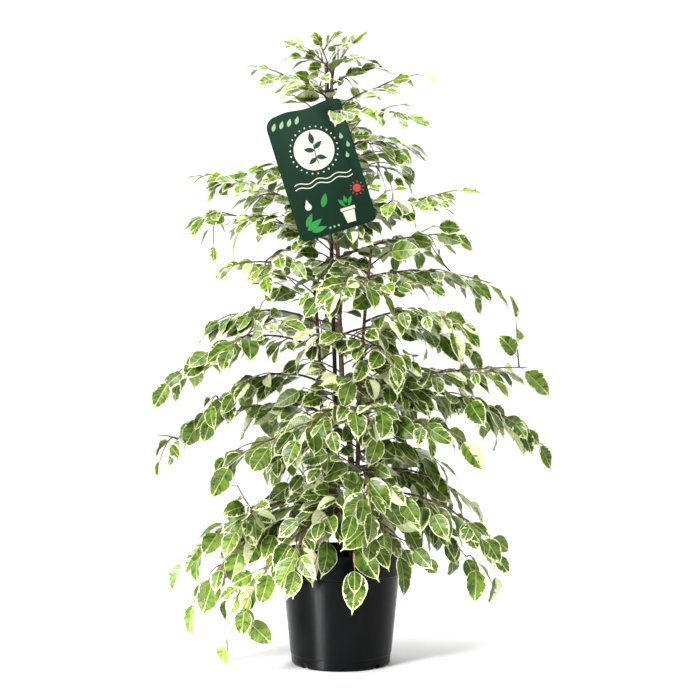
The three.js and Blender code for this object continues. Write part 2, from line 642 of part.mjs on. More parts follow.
// The first clear place of a branch: moved up or down its stem, and swung round it
function growWood(row, number, stems, obstacles) {
  const name = 'branch_' + String(number + 1).padStart(2, '0');
  const radii = taper(BRANCH.foot, BRANCH.tip, BRANCH.steps + 1);
  const tries = BRANCH.shifts.flatMap((shift) => BRANCH.swings.map((swing) => [shift, swing]));
  for (const [shift, swing] of tries) {
    const from = pointAtHeight(stems[row.stem], row.height + shift);
    const line = branchLine(from, row.tip.clone().setZ(row.tip.z + shift), row.rise, swing);
    const shoots = sideShoots(line, number);
    const things = [
      ...stalkThings(line, radii, name),
      ...shoots.flatMap((s) => stalkThings(s, taper(SHOOT.foot, SHOOT.tip, 3), name)),
    ];
    const free = things.every((piece) => piece.points.every((p) => inFreeSpace(p, false)));
    if (!free || !clearOf(things, obstacles, BRANCH.gap)) continue;
    return { ...row, name, line, radii, shoots, number, things };
  }
  console.warn(name + ' has no clear place');
  return null;
}

// The twig that the tag hangs on, a seat's gap under the top of its hole
function tagTwig(stems) {
  const { height, behind, past, tip, number } = TAG_TWIG;
  const seat = vec(TAG.hole);
  const line = [pointAtHeight(stems[MAIN], height), vec(behind), seat, vec(past), vec(tip)];
  const radii = taper(BRANCH.foot, BRANCH.tip, line.length);
  const halfStep = THREE.MathUtils.degToRad((TAG.holeFrom - TAG.holeTo) / TAG.holeSides / 2);
  seat.z += TAG.holeRadius * Math.cos(halfStep) - radii[line.indexOf(seat)] - SEAT_GAP;
  const things = stalkThings(line, radii, 'branch_tag');
  return { name: 'branch_tag', stem: MAIN, line, radii, shoots: [], number, tag: true, things };
}

// Leaves sit closer together on the young branches near the top
function branchSites({ line, leafStep, firstLeaf, number }) {
  const young = clamp01((line[0].z - BRANCH.youngFrom) / (CROWN_HIGH - BRANCH.youngFrom));
  const step = leafStep * lerp(1, BRANCH.youngStep, young);
  const count = Math.max(3, Math.round((lengthOf(line) * (1 - firstLeaf)) / step));
  return leafSites(line, count, firstLeaf, number);
}

function growLeaves(branch, obstacles) {
  const { leaves: tagLeaves, firstLeaf: tagFirst } = TAG_TWIG;
  const mainSites = branch.tag ? leafSites(branch.line, tagLeaves, tagFirst, 1) : branchSites(branch);
  const shootSites = branch.shoots.flatMap((s, i) => leafSites(s, SHOOT.leaves, SHOOT.firstLeaf, i));
  const sites = [...mainSites, ...shootSites];
  const leaves = [];
  sites.forEach((site, i) => {
    const leaf = placeLeaf(site, 1000 * (branch.number + 1) + i, obstacles, branch.name, branch.tag === true);
    if (!leaf) return;
    leaves.push(leaf.geometry);
    obstacles.push(...leaf.things);
  });
  branch.leaves = leaves;
}

function branchGeometry(branch, grownStem) {
  const wood = [
    stalk(branch.line, branch.radii, BRANCH.sides, true),
    ...branch.shoots.map((s) => stalk(s, taper(SHOOT.foot, SHOOT.tip, 3), 3, true)),
  ];
  return geometryOf(joined([...wood, ...branch.leaves].map(solidOf)).subtract(grownStem));
}

const stemLines = STEMS.map((stem) => {
  const points = stem.points.map(vec);
  return { ...stem, points, radii: taper(stem.foot, stem.top, points.length) };
});
const stemStalk = (stem, grow) => {
  const points = stem.points.map((p) => p.clone());
  points[0].z -= grow;
  return stalk(points, stem.radii.map((r) => r + grow), stem.sides, false);
};
const grownStems = stemLines.map((stem) => solidOf(stemStalk(stem, SEAT_GAP)));

function fixedThings() {
  const stakeLine = [stakeAt(POT.floor), stakeAt(STAKE.top)];
  const tied = pointAtHeight(stemLines[MAIN], TIE.height);
  const across = tied.clone().sub(stakeAt(TIE.height)).setZ(0).normalize();
  const arms = [TIE.arm, -TIE.arm]
    .map((reach) => stakeAt(TIE.height).lerp(tied, 0.5).addScaledVector(across, reach));
  const { left, right, above, below } = TAG;
  const corners = [[-left, above], [right, above], [right, -below], [-left, -below]]
    .map(([x, z]) => tagToWorld(x, z));
  return [
    ...stemLines.flatMap((stem) => stalkThings(stem.points, stem.radii, stem.name)),
    thing(stakeLine, STAKE.radius, 'stake'),
    thing(arms, STAKE.radius + TIE.wall + 1, 'tie'),
    thing([corners[0], corners[1], corners[2]], TAG.thick, 'tag'),
    thing([corners[0], corners[2], corners[3]], TAG.thick, 'tag'),
  ];
}

const plant = new THREE.Group();
plant.name = 'weeping_fig';

function addPiece(name, geometry, material) {
  const mesh = new THREE.Mesh(geometry, material);
  mesh.name = name;
  plant.add(mesh);
  return mesh;
}

addPiece('pot', pot(), BLACK_PLASTIC);
addPiece('peat', peat([...grownStems, solidOf(stakeSolid(SEAT_GAP))]), PEAT_BROWN);
addPiece('stake', stakeSolid(0), STAKE_PLASTIC);
addPiece('stake_tie', tie(stemLines), STAKE_PLASTIC);
const card = addPiece('care_tag', tag(), TAG_CARD);
card.position.copy(vec(TAG.hole));
card.rotation.y = -TAG_TURN;
stemLines.forEach((stem) => addPiece(stem.name, stemStalk(stem, 0), BARK));

const placed = fixedThings();
const branches = [];
const keep = (branch) => {
  if (!branch) return;
  branches.push(branch);
  placed.push(...branch.things);
};
keep(tagTwig(stemLines));
branchRows().forEach((row, i) => {
  const others = placed.filter((piece) => piece.owner !== stemLines[row.stem].name);
  keep(growWood(row, i, stemLines, others));
});
branches.forEach((branch) => growLeaves(branch, placed));
branches.forEach((branch) => {
  addPiece(branch.name, branchGeometry(branch, grownStems[branch.stem]), FIG_LEAF);
});

export default plant;
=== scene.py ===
# %% [markdown]
# # A variegated weeping fig in its nursery pot
# The plant is about 1.05 m tall: three thin woody stems, some fifty arching branches, and well over
# a thousand small pointed leaves with cream edges. A black stake, a tie and a green card tag go
# with it.
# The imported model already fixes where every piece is. This lesson dresses it: each plain solid is
# replaced by a finer mesh in the same place, and each surface gets a material made of nodes.

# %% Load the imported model
import math

import bmesh
import bpy
import numpy as np
from mathutils.bvhtree import BVHTree
from mathutils.kdtree import KDTree
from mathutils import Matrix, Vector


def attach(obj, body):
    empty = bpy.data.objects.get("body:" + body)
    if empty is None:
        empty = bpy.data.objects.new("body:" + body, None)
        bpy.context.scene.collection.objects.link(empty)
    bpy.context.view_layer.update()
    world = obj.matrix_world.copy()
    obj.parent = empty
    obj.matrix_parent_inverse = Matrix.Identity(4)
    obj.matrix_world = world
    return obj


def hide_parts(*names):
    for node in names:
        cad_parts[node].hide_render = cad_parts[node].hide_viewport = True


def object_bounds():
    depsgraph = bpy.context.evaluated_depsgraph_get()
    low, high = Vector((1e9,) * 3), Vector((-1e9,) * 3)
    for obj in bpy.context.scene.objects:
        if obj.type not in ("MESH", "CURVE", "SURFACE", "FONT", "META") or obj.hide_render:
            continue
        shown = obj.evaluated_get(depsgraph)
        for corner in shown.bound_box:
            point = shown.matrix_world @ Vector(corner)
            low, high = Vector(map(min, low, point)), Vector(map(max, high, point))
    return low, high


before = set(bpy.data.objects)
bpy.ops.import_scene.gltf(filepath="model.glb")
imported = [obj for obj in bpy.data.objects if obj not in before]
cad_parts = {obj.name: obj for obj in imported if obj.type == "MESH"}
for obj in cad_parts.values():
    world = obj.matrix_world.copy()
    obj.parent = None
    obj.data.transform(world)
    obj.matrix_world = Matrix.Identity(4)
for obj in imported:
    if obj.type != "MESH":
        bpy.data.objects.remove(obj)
cad_box = [list(corner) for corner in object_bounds()]
MM = 0.001
print("nodes:", len(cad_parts), "box:", [[round(v, 3) for v in corner] for corner in cad_box])

# %% [markdown]
# ## Camera, floor and light
# A photograph of a tall plant is taken from some two metres away, a little under half its height,
# so that the rim of the pot shows as a thin ellipse. A pinhole camera with the same place and
# angle gives the same ellipses here.
# The floor and the wall behind are one swept sheet, as a studio's paper roll is. Softboxes are area
# lights. Wide ones give soft shadows, and a small low strip puts the highlight on the pot.

# %% Camera
CAMERA = {"place": (0.0117, -2.1, 0.436), "target": (0.0117, 0.0, 0.519), "view_degrees": 30.9}


def aim(thing, place, target):
    thing.location = place
    ahead = np.subtract(target, place)
    flat = math.hypot(ahead[0], ahead[1])
    thing.rotation_euler = (math.atan2(flat, -ahead[2]), 0, math.atan2(-ahead[0], ahead[1]))


camera = bpy.data.objects.new("camera", bpy.data.cameras.new("camera"))
bpy.context.scene.collection.objects.link(camera)
camera.data.angle = math.radians(CAMERA["view_degrees"])
aim(camera, CAMERA["place"], CAMERA["target"])
bpy.context.scene.camera = camera
bpy.context.scene.view_settings.view_transform = "Standard"
print("camera turned by", [round(math.degrees(a), 1) for a in camera.rotation_euler])

# %% Softboxes and sky
# name: place, target, width and height in metres, watts, how widely the light fans out in degrees
SOFTBOXES = {
    "key": ((-1.8, -2.1, 1.9), (0, 0, 0.55), 0.7, 1.4, 150, 180),
    "pot_strip": ((-1.05, -1.04, 0.07), (0, 0, 0.06), 0.48, 0.12, 1.8, 20),
    "fill": ((2.4, -0.9, 0.9), (0, 0, 0.35), 0.4, 1.6, 12, 180),
    "top": ((0.1, -0.5, 3.0), (0, 0, 0.5), 1.6, 1.6, 92, 180),
    "back_left": ((-1.9, 1.5, 1.1), (0, 0, 0.5), 0.5, 1.8, 18, 180),
    "back_top": ((0.3, 1.6, 2.4), (0, 0.5, 0), 2.0, 1.0, 40, 180),
    "wall_left": ((-2.6, 1.2, 1.3), (-0.6, 4.6, 1.3), 1.2, 1.8, 95, 180),
    "wall_right": ((2.6, 1.2, 1.3), (0.6, 4.6, 1.3), 1.2, 1.8, 95, 180),
}
SKY = {"colour": (1.0, 0.99, 0.96), "strength": 0.06}


def softbox(name, place, target, width, height, watts, spread_degrees):
    light = bpy.data.lights.new(name, "AREA")
    light.shape = "RECTANGLE"
    light.size, light.size_y, light.energy = width, height, watts
    light.spread = math.radians(spread_degrees)
    thing = bpy.data.objects.new(name, light)
    bpy.context.scene.collection.objects.link(thing)
    aim(thing, place, target)


for name, values in SOFTBOXES.items():
    softbox(name, *values)
world = bpy.data.worlds.new("studio")
world.use_nodes = True
world.node_tree.nodes["Background"].inputs["Color"].default_value = (*SKY["colour"], 1)
world.node_tree.nodes["Background"].inputs["Strength"].default_value = SKY["strength"]
bpy.context.scene.world = world
print("softboxes:", ", ".join(SOFTBOXES))

# %% [markdown]
# ## Materials as small recipes
# A material is a graph of nodes that ends in a shader. Writing each graph link by link hides what
# it does, so a little helper adds a node, sets its values and joins its inputs in one call.
# An input may be a number, a colour or the output of another node.

# %% A helper for node graphs
class Recipe:
    """A new material and short calls that add nodes to it."""

    def __init__(self, name):
        self.material = bpy.data.materials.new(name)
        self.material.use_nodes = True
        self.tree = self.material.node_tree
        self.tree.nodes.clear()
        self.output = self.tree.nodes.new("ShaderNodeOutputMaterial")

    def add(self, kind, inputs=None, **settings):
        node = self.tree.nodes.new("ShaderNode" + kind)
        for name, value in settings.items():
            setattr(node, name, value)
        for name, value in (inputs or {}).items():
            socket = node.inputs[name]
            if isinstance(value, bpy.types.NodeSocket):
                self.tree.links.new(value, socket)
            elif isinstance(value, tuple) and len(value) == 3 and socket.type == "RGBA":
                socket.default_value = (*value, 1)
            else:
                socket.default_value = value
        return node

    def math(self, operation, *values):
        return self.add("Math", dict(enumerate(values)), operation=operation).outputs[0]

    def noise(self, place, scale, detail=3.0, rough=0.55, kind="Fac"):
        inputs = {"Vector": place, "Scale": scale, "Detail": detail, "Roughness": rough}
        return self.add("TexNoise", inputs).outputs[kind]

    def steps(self, value, low, high, start=0.0, end=1.0):
        inputs = {"Value": value, "From Min": low, "From Max": high, "To Min": start, "To Max": end}
        return self.add("MapRange", inputs, interpolation_type="SMOOTHSTEP").outputs[0]

    def mix(self, share, first, second):
        return self.add("MixRGB", {"Fac": share, "Color1": first, "Color2": second}).outputs[0]

    def place(self):
        return self.add("TexCoord").outputs["Object"]

    def stored(self, name):
        """The three parts of a vector that is stored on the mesh's points."""
        row = self.add("Attribute", attribute_name=name).outputs["Vector"]
        parts = self.add("SeparateXYZ", {"Vector": row}).outputs
        return parts["X"], parts["Y"], parts["Z"]

    def finish(self, shader):
        self.tree.links.new(shader.outputs[0], self.output.inputs["Surface"])
        return self.material


def srgb(red, green, blue):
    """The linear colour of three values from 0 to 255."""
    shares = [v / 255 for v in (red, green, blue)]
    return tuple(s / 12.92 if s <= 0.04045 else ((s + 0.055) / 1.055) ** 2.4 for s in shares)


print("mid grey is", [round(v, 3) for v in srgb(128, 128, 128)])

# %% [markdown]
# The backdrop is plain matt paper. It isn't part of the plant.

# %% Backdrop
BACKDROP = {"front": -6.0, "bend": 3.2, "radius": 1.6, "top": 7.0, "half_width": 9.0, "steps": 16}


def backdrop():
    bend, radius = BACKDROP["bend"], BACKDROP["radius"]
    turns = [math.pi / 2 * i / BACKDROP["steps"] for i in range(BACKDROP["steps"] + 1)]
    line = [(BACKDROP["front"], 0.0)]
    line += [(bend + radius * math.sin(a), radius - radius * math.cos(a)) for a in turns]
    line += [(bend + radius, BACKDROP["top"])]
    points = [(x, y, z) for y, z in line for x in (-BACKDROP["half_width"], BACKDROP["half_width"])]
    faces = [(2 * i, 2 * i + 1, 2 * i + 3, 2 * i + 2) for i in range(len(line) - 1)]
    mesh = bpy.data.meshes.new("backdrop")
    mesh.from_pydata(points, [], faces)
    mesh.shade_smooth()
    thing = bpy.data.objects.new("backdrop", mesh)
    bpy.context.scene.collection.objects.link(thing)
    paper = Recipe("studio_paper")
    shader = paper.add("BsdfPrincipled", {"Base Color": (0.82, 0.82, 0.82), "Roughness": 0.9})
    mesh.materials.append(paper.finish(shader))


backdrop()
print("backdrop from", BACKDROP["front"], "to", BACKDROP["bend"] + BACKDROP["radius"], "m")

# %% [markdown]
# ## From lists of points to pieces
# Every piece below is worked out as points in millimetres and faces that join them, since a rule
# is easier to follow in the units of the real thing. One function turns them into a Blender object
# in metres, lets it ride on the imported body and hides the plain solids that it stands for.

# %% A maker of pieces
def new_mesh(name, points, faces, materials, face_materials=None, smooth=True):
    mesh = bpy.data.meshes.new(name)
    mesh.from_pydata((np.asarray(points, float) * MM).tolist(), [], faces)
    for material in materials:
        mesh.materials.append(material)
    if face_materials is not None:
        mesh.polygons.foreach_set("material_index", face_materials)
    if smooth:
        mesh.shade_smooth()
    mesh.update()
    return mesh


def add_piece(name, mesh, slot, *replaced):
    piece = bpy.data.objects.new(name, mesh)
    bpy.context.scene.collection.objects.link(piece)
    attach(piece, "root")
    if replaced:
        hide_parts(*replaced)
    return piece


def unit(v):
    return v / np.linalg.norm(v)


def lerp(a, b, t):
    return a + (b - a) * t


class Shell:
    """Points and faces gathered from many small closed surfaces, with one attribute row a point."""

    def __init__(self):
        self.points, self.faces, self.kinds, self.rows, self.count = [], [], [], [], 0

    def add(self, points, faces, kind=0, rows=None):
        self.points.append(points)
        self.faces += [tuple(i + self.count for i in face) for face in faces]
        self.kinds += [kind] * len(faces)
        if rows is not None:
            self.rows.append(rows)
        self.count += len(points)


print("millimetres times", MM, "are metres")

# %% [markdown]
# Most solids here are rings of points that follow each other, and differ only in how they end. The
# first helper closes each end with a fan round a middle point, which suits round things. The second
# closes it with one flat face, which suits cards, bars and cutters.

# %% Faces between rings of points
def fan_ended(rings, sides):
    """Faces of a closed solid whose two middle points follow after the rings."""
    faces = []
    for i in range(rings - 1):
        for k in range(sides):
            a, b = i * sides + k, i * sides + (k + 1) % sides
            faces.append((a, b, b + sides, a + sides))
    low, high, last = rings * sides, rings * sides + 1, (rings - 1) * sides
    faces += [(low, (k + 1) % sides, k) for k in range(sides)]
    faces += [(high, last + k, last + (k + 1) % sides) for k in range(sides)]
    return faces


def flat_ended(rings, sides):
    """Faces of a closed solid whose first and last ring are flat."""
    faces = [tuple(range(sides)), tuple(reversed(range((rings - 1) * sides, rings * sides)))]
    for i in range(rings - 1):
        for k in range(sides):
            a, b = i * sides + k, i * sides + (k + 1) % sides
            faces.append((a, a + sides, b + sides, b))
    return faces


print("a box has", len(flat_ended(2, 4)), "faces")

# %% [markdown]
# Stalks, twigs, the stake and the tie's bar are all tubes: a round section carried along a line.
# Each section is turned as little as possible from the one before it, so the tube doesn't twist.

# %% Tubes along a line
DOME_RINGS = 3


def tube(line, radii, sides, dome=0.0):
    """A closed tube along points, with a radius at each. dome adds a rounded end of that height."""
    line = np.asarray(line, float)
    ahead = np.gradient(line, axis=0)
    ahead /= np.linalg.norm(ahead, axis=1)[:, None]
    if dome:
        turns = np.linspace(0, math.pi / 2, DOME_RINGS + 2)[1:-1]
        caps = [line[-1] + ahead[-1] * dome * math.sin(a) for a in turns]
        line = np.vstack([line, caps])
        ahead = np.vstack([ahead, [ahead[-1]] * len(caps)])
        radii = list(radii) + [radii[-1] * math.cos(a) for a in turns]
    across = np.array([1.0, 0, 0]) if abs(ahead[0][2]) > 0.9 else np.array([0, 0, 1.0])
    turns = 2 * math.pi * np.arange(sides) / sides
    points = []
    for place, way, radius in zip(line, ahead, radii):
        across = unit(across - way * across.dot(way))
        beside = np.cross(way, across)
        ring = np.outer(np.cos(turns), across) + np.outer(np.sin(turns), beside)
        points.append(place + radius * ring)
    ends = [line[0], line[-1] + ahead[-1] * (dome * 0.08)]
    return np.vstack(points + [ends]), fan_ended(len(line), sides)


def smooth_line(points, per_span):
    """A Catmull-Rom curve through points, with per_span steps between two of them."""
    p = np.asarray(points, float)
    p = np.vstack([2 * p[0] - p[1], p, 2 * p[-1] - p[-2]])
    out = []
    for i in range(1, len(p) - 2):
        for k in range(per_span):
            t = k / per_span
            a, b, c, d = p[i - 1 : i + 3]
            out.append(0.5 * (2 * b + (c - a) * t + (2 * a - 5 * b + 4 * c - d) * t**2
                              + (3 * b - a - 3 * c + d) * t**3))
    return np.vstack([out, p[-2]])


print("a test tube has", len(tube([(0, 0, 0), (0, 0, 9)], [1, 1], 12, 0.5)[1]), "faces")

# %% [markdown]
# ## The nursery pot
# The real pot is injection moulded from black recycled plastic: a thin tapering wall, a stepped band
# at the rim, a small step at the foot, arched notches where water runs out, and drain holes. Such a
# cup is a lathe shape, so its profile is turned round the axis, with small arcs at its corners.
# The holes are cut afterwards with boolean modifiers, which are applied at once.

# %% Turn a profile round the axis
POT = {
    "height": 185, "rim": 105, "band_foot": 101.5, "band_height": 39, "band_step": 1, "body_top": 97.5,
    "base": 81.5, "wall": 2, "floor": 3, "foot_height": 17, "foot_step": 1, "chamfer": 3, "segments": 128,
}
SHOULDER = POT["height"] - POT["band_height"]


def rounded(corners, steps=4):
    """Corners (r, z, fillet) as a list of points with an arc in place of each corner that has one."""
    out = []
    for i, (r, z, fillet) in enumerate(corners):
        here = np.array([r, z], float)
        if not fillet or i in (0, len(corners) - 1):
            out.append(here)
            continue
        before, after = np.array(corners[i - 1][:2], float), np.array(corners[i + 1][:2], float)
        reach = min(fillet, np.linalg.norm(before - here) / 2, np.linalg.norm(after - here) / 2)
        start, end = here + unit(before - here) * reach, here + unit(after - here) * reach
        for t in np.linspace(0, 1, steps + 1):
            out.append((1 - t) ** 2 * start + 2 * t * (1 - t) * here + t**2 * end)
    return np.array(out)


def turned(profile, segments):
    """A closed lathe mesh from (r, z) points that start and end on the axis."""
    turns = 2 * math.pi * np.arange(segments) / segments
    inner = profile[1:-1]
    points = [np.column_stack([r * np.cos(turns), r * np.sin(turns), np.full(segments, z)])
              for r, z in inner]
    ends = [(0, 0, profile[0][1]), (0, 0, profile[-1][1])]
    return np.vstack(points + [ends]), fan_ended(len(inner), segments)


def foot_radius(z):
    """The outer radius of the pot's plain wall at height z."""
    return lerp(POT["base"], POT["body_top"], z / SHOULDER)


def pot_profile():
    foot, step = POT["foot_height"], POT["foot_step"]
    outside = [
        (0, 0, 0), (POT["base"] - POT["chamfer"], 0, 2), (POT["base"], POT["chamfer"], 2),
        (foot_radius(foot) - step, foot, 0.5), (foot_radius(foot), foot + step, 0.5),
        (POT["body_top"], SHOULDER, 0.7), (POT["band_foot"], SHOULDER + POT["band_step"], 0.9),
        (POT["rim"] - 0.3, POT["height"] - 3, 1), (POT["rim"], POT["height"] - 1.4, 1),
        (POT["rim"] - 0.2, POT["height"], 0.8),
    ]
    wall = POT["wall"]
    inside = [
        (POT["rim"] - wall, POT["height"], 0.8), (POT["band_foot"] - wall, SHOULDER + 5, 2),
        (POT["body_top"] - wall - 0.4, SHOULDER - 2, 2), (POT["base"] - wall - 1, POT["floor"], 3),
        (0, POT["floor"], 0),
    ]
    return rounded(outside + inside)


print("the profile has", len(pot_profile()), "points")

# %% [markdown]
# The notches and drain holes are cut by simple prisms. A cutter is an object that is thrown away
# after its modifier is applied.

# %% Cut holes with boolean modifiers
NOTCH = {"width": 11, "height": 9, "turns": (45, 135, 225, 315), "from": 12, "past": 6}
DRAIN = {"radius": 7, "ring": 55, "turns": (0, 90, 180, 270), "sides": 32, "past": 4}


def prism(outline, low, high, turn_degrees, axis):
    """A closed prism: outline (across, up) pushed outwards (axis r) or up (axis z), turned round Z."""
    turn = math.radians(turn_degrees)
    out = np.array([math.cos(turn), math.sin(turn), 0])
    side = np.array([-math.sin(turn), math.cos(turn), 0])
    points = []
    for end in (low, high):
        for x, y in outline:
            points.append(out * end + side * x + np.array([0, 0, y]) if axis == "r"
                          else out * x + side * y + np.array([0, 0, end]))
    return np.array(points), flat_ended(2, len(outline))


def solid_object(name, points, faces):
    mesh = new_mesh(name, points, faces, [], smooth=False)
    shape = bmesh.new()
    shape.from_mesh(mesh)
    bmesh.ops.recalc_face_normals(shape, faces=shape.faces)
    shape.to_mesh(mesh)
    shape.free()
    thing = bpy.data.objects.new(name, mesh)
    bpy.context.scene.collection.objects.link(thing)
    return thing


def combine(thing, others, operation):
    """Joins or cuts thing with the others and returns the finished mesh alone."""
    for other in others:
        modifier = thing.modifiers.new("cut", "BOOLEAN")
        modifier.operation, modifier.solver, modifier.object = operation, "EXACT", other
    view = bpy.context.evaluated_depsgraph_get()
    mesh = bpy.data.meshes.new_from_object(thing.evaluated_get(view))
    for other in [thing, *others]:
        bpy.data.objects.remove(other)
    mesh.materials.clear()
    return mesh


def arch_outline():
    half, top = NOTCH["width"] / 2, NOTCH["height"]
    turns = np.linspace(0, math.pi, 9)
    round_top = [(half * math.cos(a), top - half + half * math.sin(a)) for a in turns]
    return [(-half, -2), (half, -2)] + round_top


def drain_outline():
    turns = 2 * math.pi * np.arange(DRAIN["sides"]) / DRAIN["sides"]
    return [(DRAIN["ring"] + DRAIN["radius"] * math.cos(a), DRAIN["radius"] * math.sin(a)) for a in turns]


cutters = [prism(arch_outline(), POT["base"] - NOTCH["from"], POT["base"] + NOTCH["past"], turn, "r")
           for turn in NOTCH["turns"]]
cutters += [prism(drain_outline(), -DRAIN["past"], POT["floor"] + DRAIN["past"], turn, "z")
            for turn in DRAIN["turns"]]
cup = solid_object("cup", *turned(pot_profile(), POT["segments"]))
pot_mesh = combine(cup, [solid_object("cutter", *c) for c in cutters], "DIFFERENCE")
print("the pot has", len(pot_mesh.polygons), "faces after", len(cutters), "cuts")

# %% [markdown]
# Black pot plastic isn't even. Its skin has a fine leathery grain from the mould, faint streaks from
# the flow of the melt, and a little dust and rubbed grey on edges and low down. Grain is bump, and the
# streaks and the dust, which gathers more low down, vary colour and roughness slightly. The mould's
# fine draw marks run up the wall, so a highlight on it is a tall narrow streak: the shader's
# anisotropy does that.

# %% Pot plastic
def pot_plastic():
    r = Recipe("pot_plastic")
    place = r.place()
    stretched = r.add("Mapping", {"Vector": place, "Scale": (1, 1, 0.12)}).outputs[0]
    streaks = r.noise(stretched, 60, 4)
    cloud = r.noise(place, 14, 5, 0.6)
    fine = r.noise(place, 900, 2)
    grain = r.add("TexVoronoi", {"Vector": place, "Scale": 1400.0}).outputs["Distance"]
    height = r.add("SeparateXYZ", {"Vector": place}).outputs["Z"]
    low = r.steps(height, 0.0, 0.03, 1.0, 0.0)
    dust = r.math("MULTIPLY", r.steps(cloud, 0.5, 0.75), r.math("ADD", 0.18, r.math("MULTIPLY", low, 0.4)))
    colour = r.mix(r.steps(streaks, 0.3, 0.8), (0.0010, 0.0011, 0.0013), (0.0018, 0.0019, 0.0022))
    colour = r.mix(dust, colour, (0.006, 0.0058, 0.0056))
    rough = r.math("ADD", r.steps(streaks, 0.2, 0.9, 0.29, 0.34), r.math("MULTIPLY", dust, 0.3))
    skin = r.math("ADD", r.math("MULTIPLY", grain, 0.7), r.math("MULTIPLY", fine, 0.6))
    bump = r.add("Bump", {"Height": skin, "Strength": 0.10, "Distance": 0.0004}).outputs[0]
    round_pot = r.add("Tangent", direction_type="RADIAL", axis="Z").outputs[0]
    return r.finish(r.add("BsdfPrincipled", {
        "Base Color": colour, "Roughness": rough, "Normal": bump, "Specular IOR Level": 0.08,
        "Anisotropic": 0.85, "Anisotropic Rotation": 0.25, "Tangent": round_pot}))


POT_PLASTIC = pot_plastic()
pot_mesh.materials.append(POT_PLASTIC)
print("made", POT_PLASTIC.name)

# %% [markdown]
# Above each notch the mould leaves a thin raised line. Each line is a short closed bar that follows
# the wall, sunk a little into it and kept in the same piece.

# %% Raised lines above the notches
LINE = {"height": 14.2, "reach": 11, "half": 0.35, "proud": 0.45, "sunk": 0.6, "steps": 10}


def raised_line(turn_degrees):
    radius = foot_radius(LINE["height"]) - POT["foot_step"] * LINE["height"] / POT["foot_height"]
    span = LINE["reach"] / radius
    turns = math.radians(turn_degrees) + np.linspace(-span, span, LINE["steps"])
    corners = [(-LINE["sunk"], -LINE["half"]), (LINE["proud"], -LINE["half"] * 0.6),
               (LINE["proud"], LINE["half"] * 0.6), (-LINE["sunk"], LINE["half"])]
    points = [((radius + out) * math.cos(a), (radius + out) * math.sin(a), LINE["height"] + up)
              for a in turns for out, up in corners]
    return np.array(points), flat_ended(len(turns), len(corners))


def finish_pot():
    shape = bmesh.new()
    shape.from_mesh(pot_mesh)
    for turn in NOTCH["turns"]:
        points, faces = raised_line(turn)
        corners = [shape.verts.new(p * MM) for p in points]
        for face in faces:
            shape.faces.new([corners[i] for i in face])
    bmesh.ops.remove_doubles(shape, verts=shape.verts, dist=1e-6)
    bmesh.ops.recalc_face_normals(shape, faces=shape.faces)
    for edge in shape.edges:
        edge.smooth = len(edge.link_faces) == 2 and edge.calc_face_angle(0) < math.radians(38)
    for face in shape.faces:
        face.smooth = True
    shape.to_mesh(pot_mesh)
    shape.free()
    return add_piece("pot_shell", pot_mesh, "pot_plastic", "pot")


pot_piece = finish_pot()
print("pot", [round(v * 1000) for v in pot_piece.dimensions], "mm")

# %% [markdown]
# ## Seeded random numbers
# Nothing in a shared part may change from one run to the next, so each random choice comes from a
# small generator with a known seed. The crown's leaves were placed with this same generator, which
# is why the finer leaves below can find their places again.

# %% Draws from a seed
WORD = 0xFFFFFFFF


def draws(seed):
    """A function that gives the next of a fixed row of numbers from 0 to 1."""
    state = [seed & WORD]

    def next_draw():
        state[0] = (state[0] + 0x6D2B79F5) & WORD
        t = ((state[0] ^ (state[0] >> 15)) * (state[0] | 1)) & WORD
        t ^= (t + (((t ^ (t >> 7)) * (t | 61)) & WORD)) & WORD
        return ((t ^ (t >> 14)) & WORD) / 4294967296

    return next_draw


print("seed 1 gives", [round(d, 4) for d in (lambda f: [f(), f(), f()])(draws(1))])

# %% [markdown]
# ## Potting peat
# Under the leaves lies dark, damp peat: a rough bed with crumbs, bits of bark and pale root fibres.
# The bed is a lathe shape whose top rings are lifted by a few crossed waves and a little chance.
# Crumbs are small lumps made from a ball with each corner pushed in or out, and fibres are thin
# bent tubes.

# %% The bed of peat
PEAT = {
    "top": 163.5, "edge": 158.5, "wall_gap": 0.6, "seat": 0.3, "rings": 34, "segments": 112, "bumps": 1.9,
    "calm": 0.9, "chance": 0.7, "seed": 21,
}


def bumps_at(x, y):
    """The height of the rough bed above its plain dome, in millimetres."""
    waves = [(0.11, 0.05, 0.4), (-0.07, 0.16, 2.1), (0.23, -0.19, 4.4), (0.31, 0.37, 1.3),
             (-0.52, 0.29, 5.2)]
    total = sum(np.sin(a * x + b * y + c) * np.cos(b * x - a * y + 2 * c) for a, b, c in waves)
    return PEAT["bumps"] * total / 2


def dome_at(radius):
    return lerp(PEAT["top"], PEAT["edge"], (radius / POT["body_top"]) ** 2)


def peat_height(x, y):
    return dome_at(math.hypot(x, y)) + float(bumps_at(x, y)) * PEAT["calm"]


def peat_mesh():
    gap = POT["wall"] + PEAT["wall_gap"]
    edge = lerp(POT["band_foot"], POT["rim"], (PEAT["edge"] - SHOULDER) / POT["band_height"]) - gap - 2.4
    foot = POT["floor"] + PEAT["seat"]
    sides = [(0, foot), (POT["base"] - gap - 1.6, foot), (POT["body_top"] - gap - 0.8, SHOULDER - 2),
             (edge, PEAT["edge"] - 3)]
    rings = [edge * (1 - i / PEAT["rings"]) ** 0.9 for i in range(PEAT["rings"])]
    profile = sides + [(r, dome_at(r)) for r in rings] + [(0, dome_at(0))]
    points, faces = turned(np.array(profile, float), PEAT["segments"])
    upper = points[:, 2] > PEAT["edge"] - 1
    calm = np.clip((edge - np.hypot(points[:, 0], points[:, 1])) / 6, 0.25, 1)
    points[upper, 2] += (bumps_at(points[:, 0], points[:, 1]) * PEAT["calm"] * calm)[upper]
    random = draws(PEAT["seed"])
    points[upper, 2] += [PEAT["chance"] * (random() - 0.5) for _ in range(int(upper.sum()))]
    return points, faces


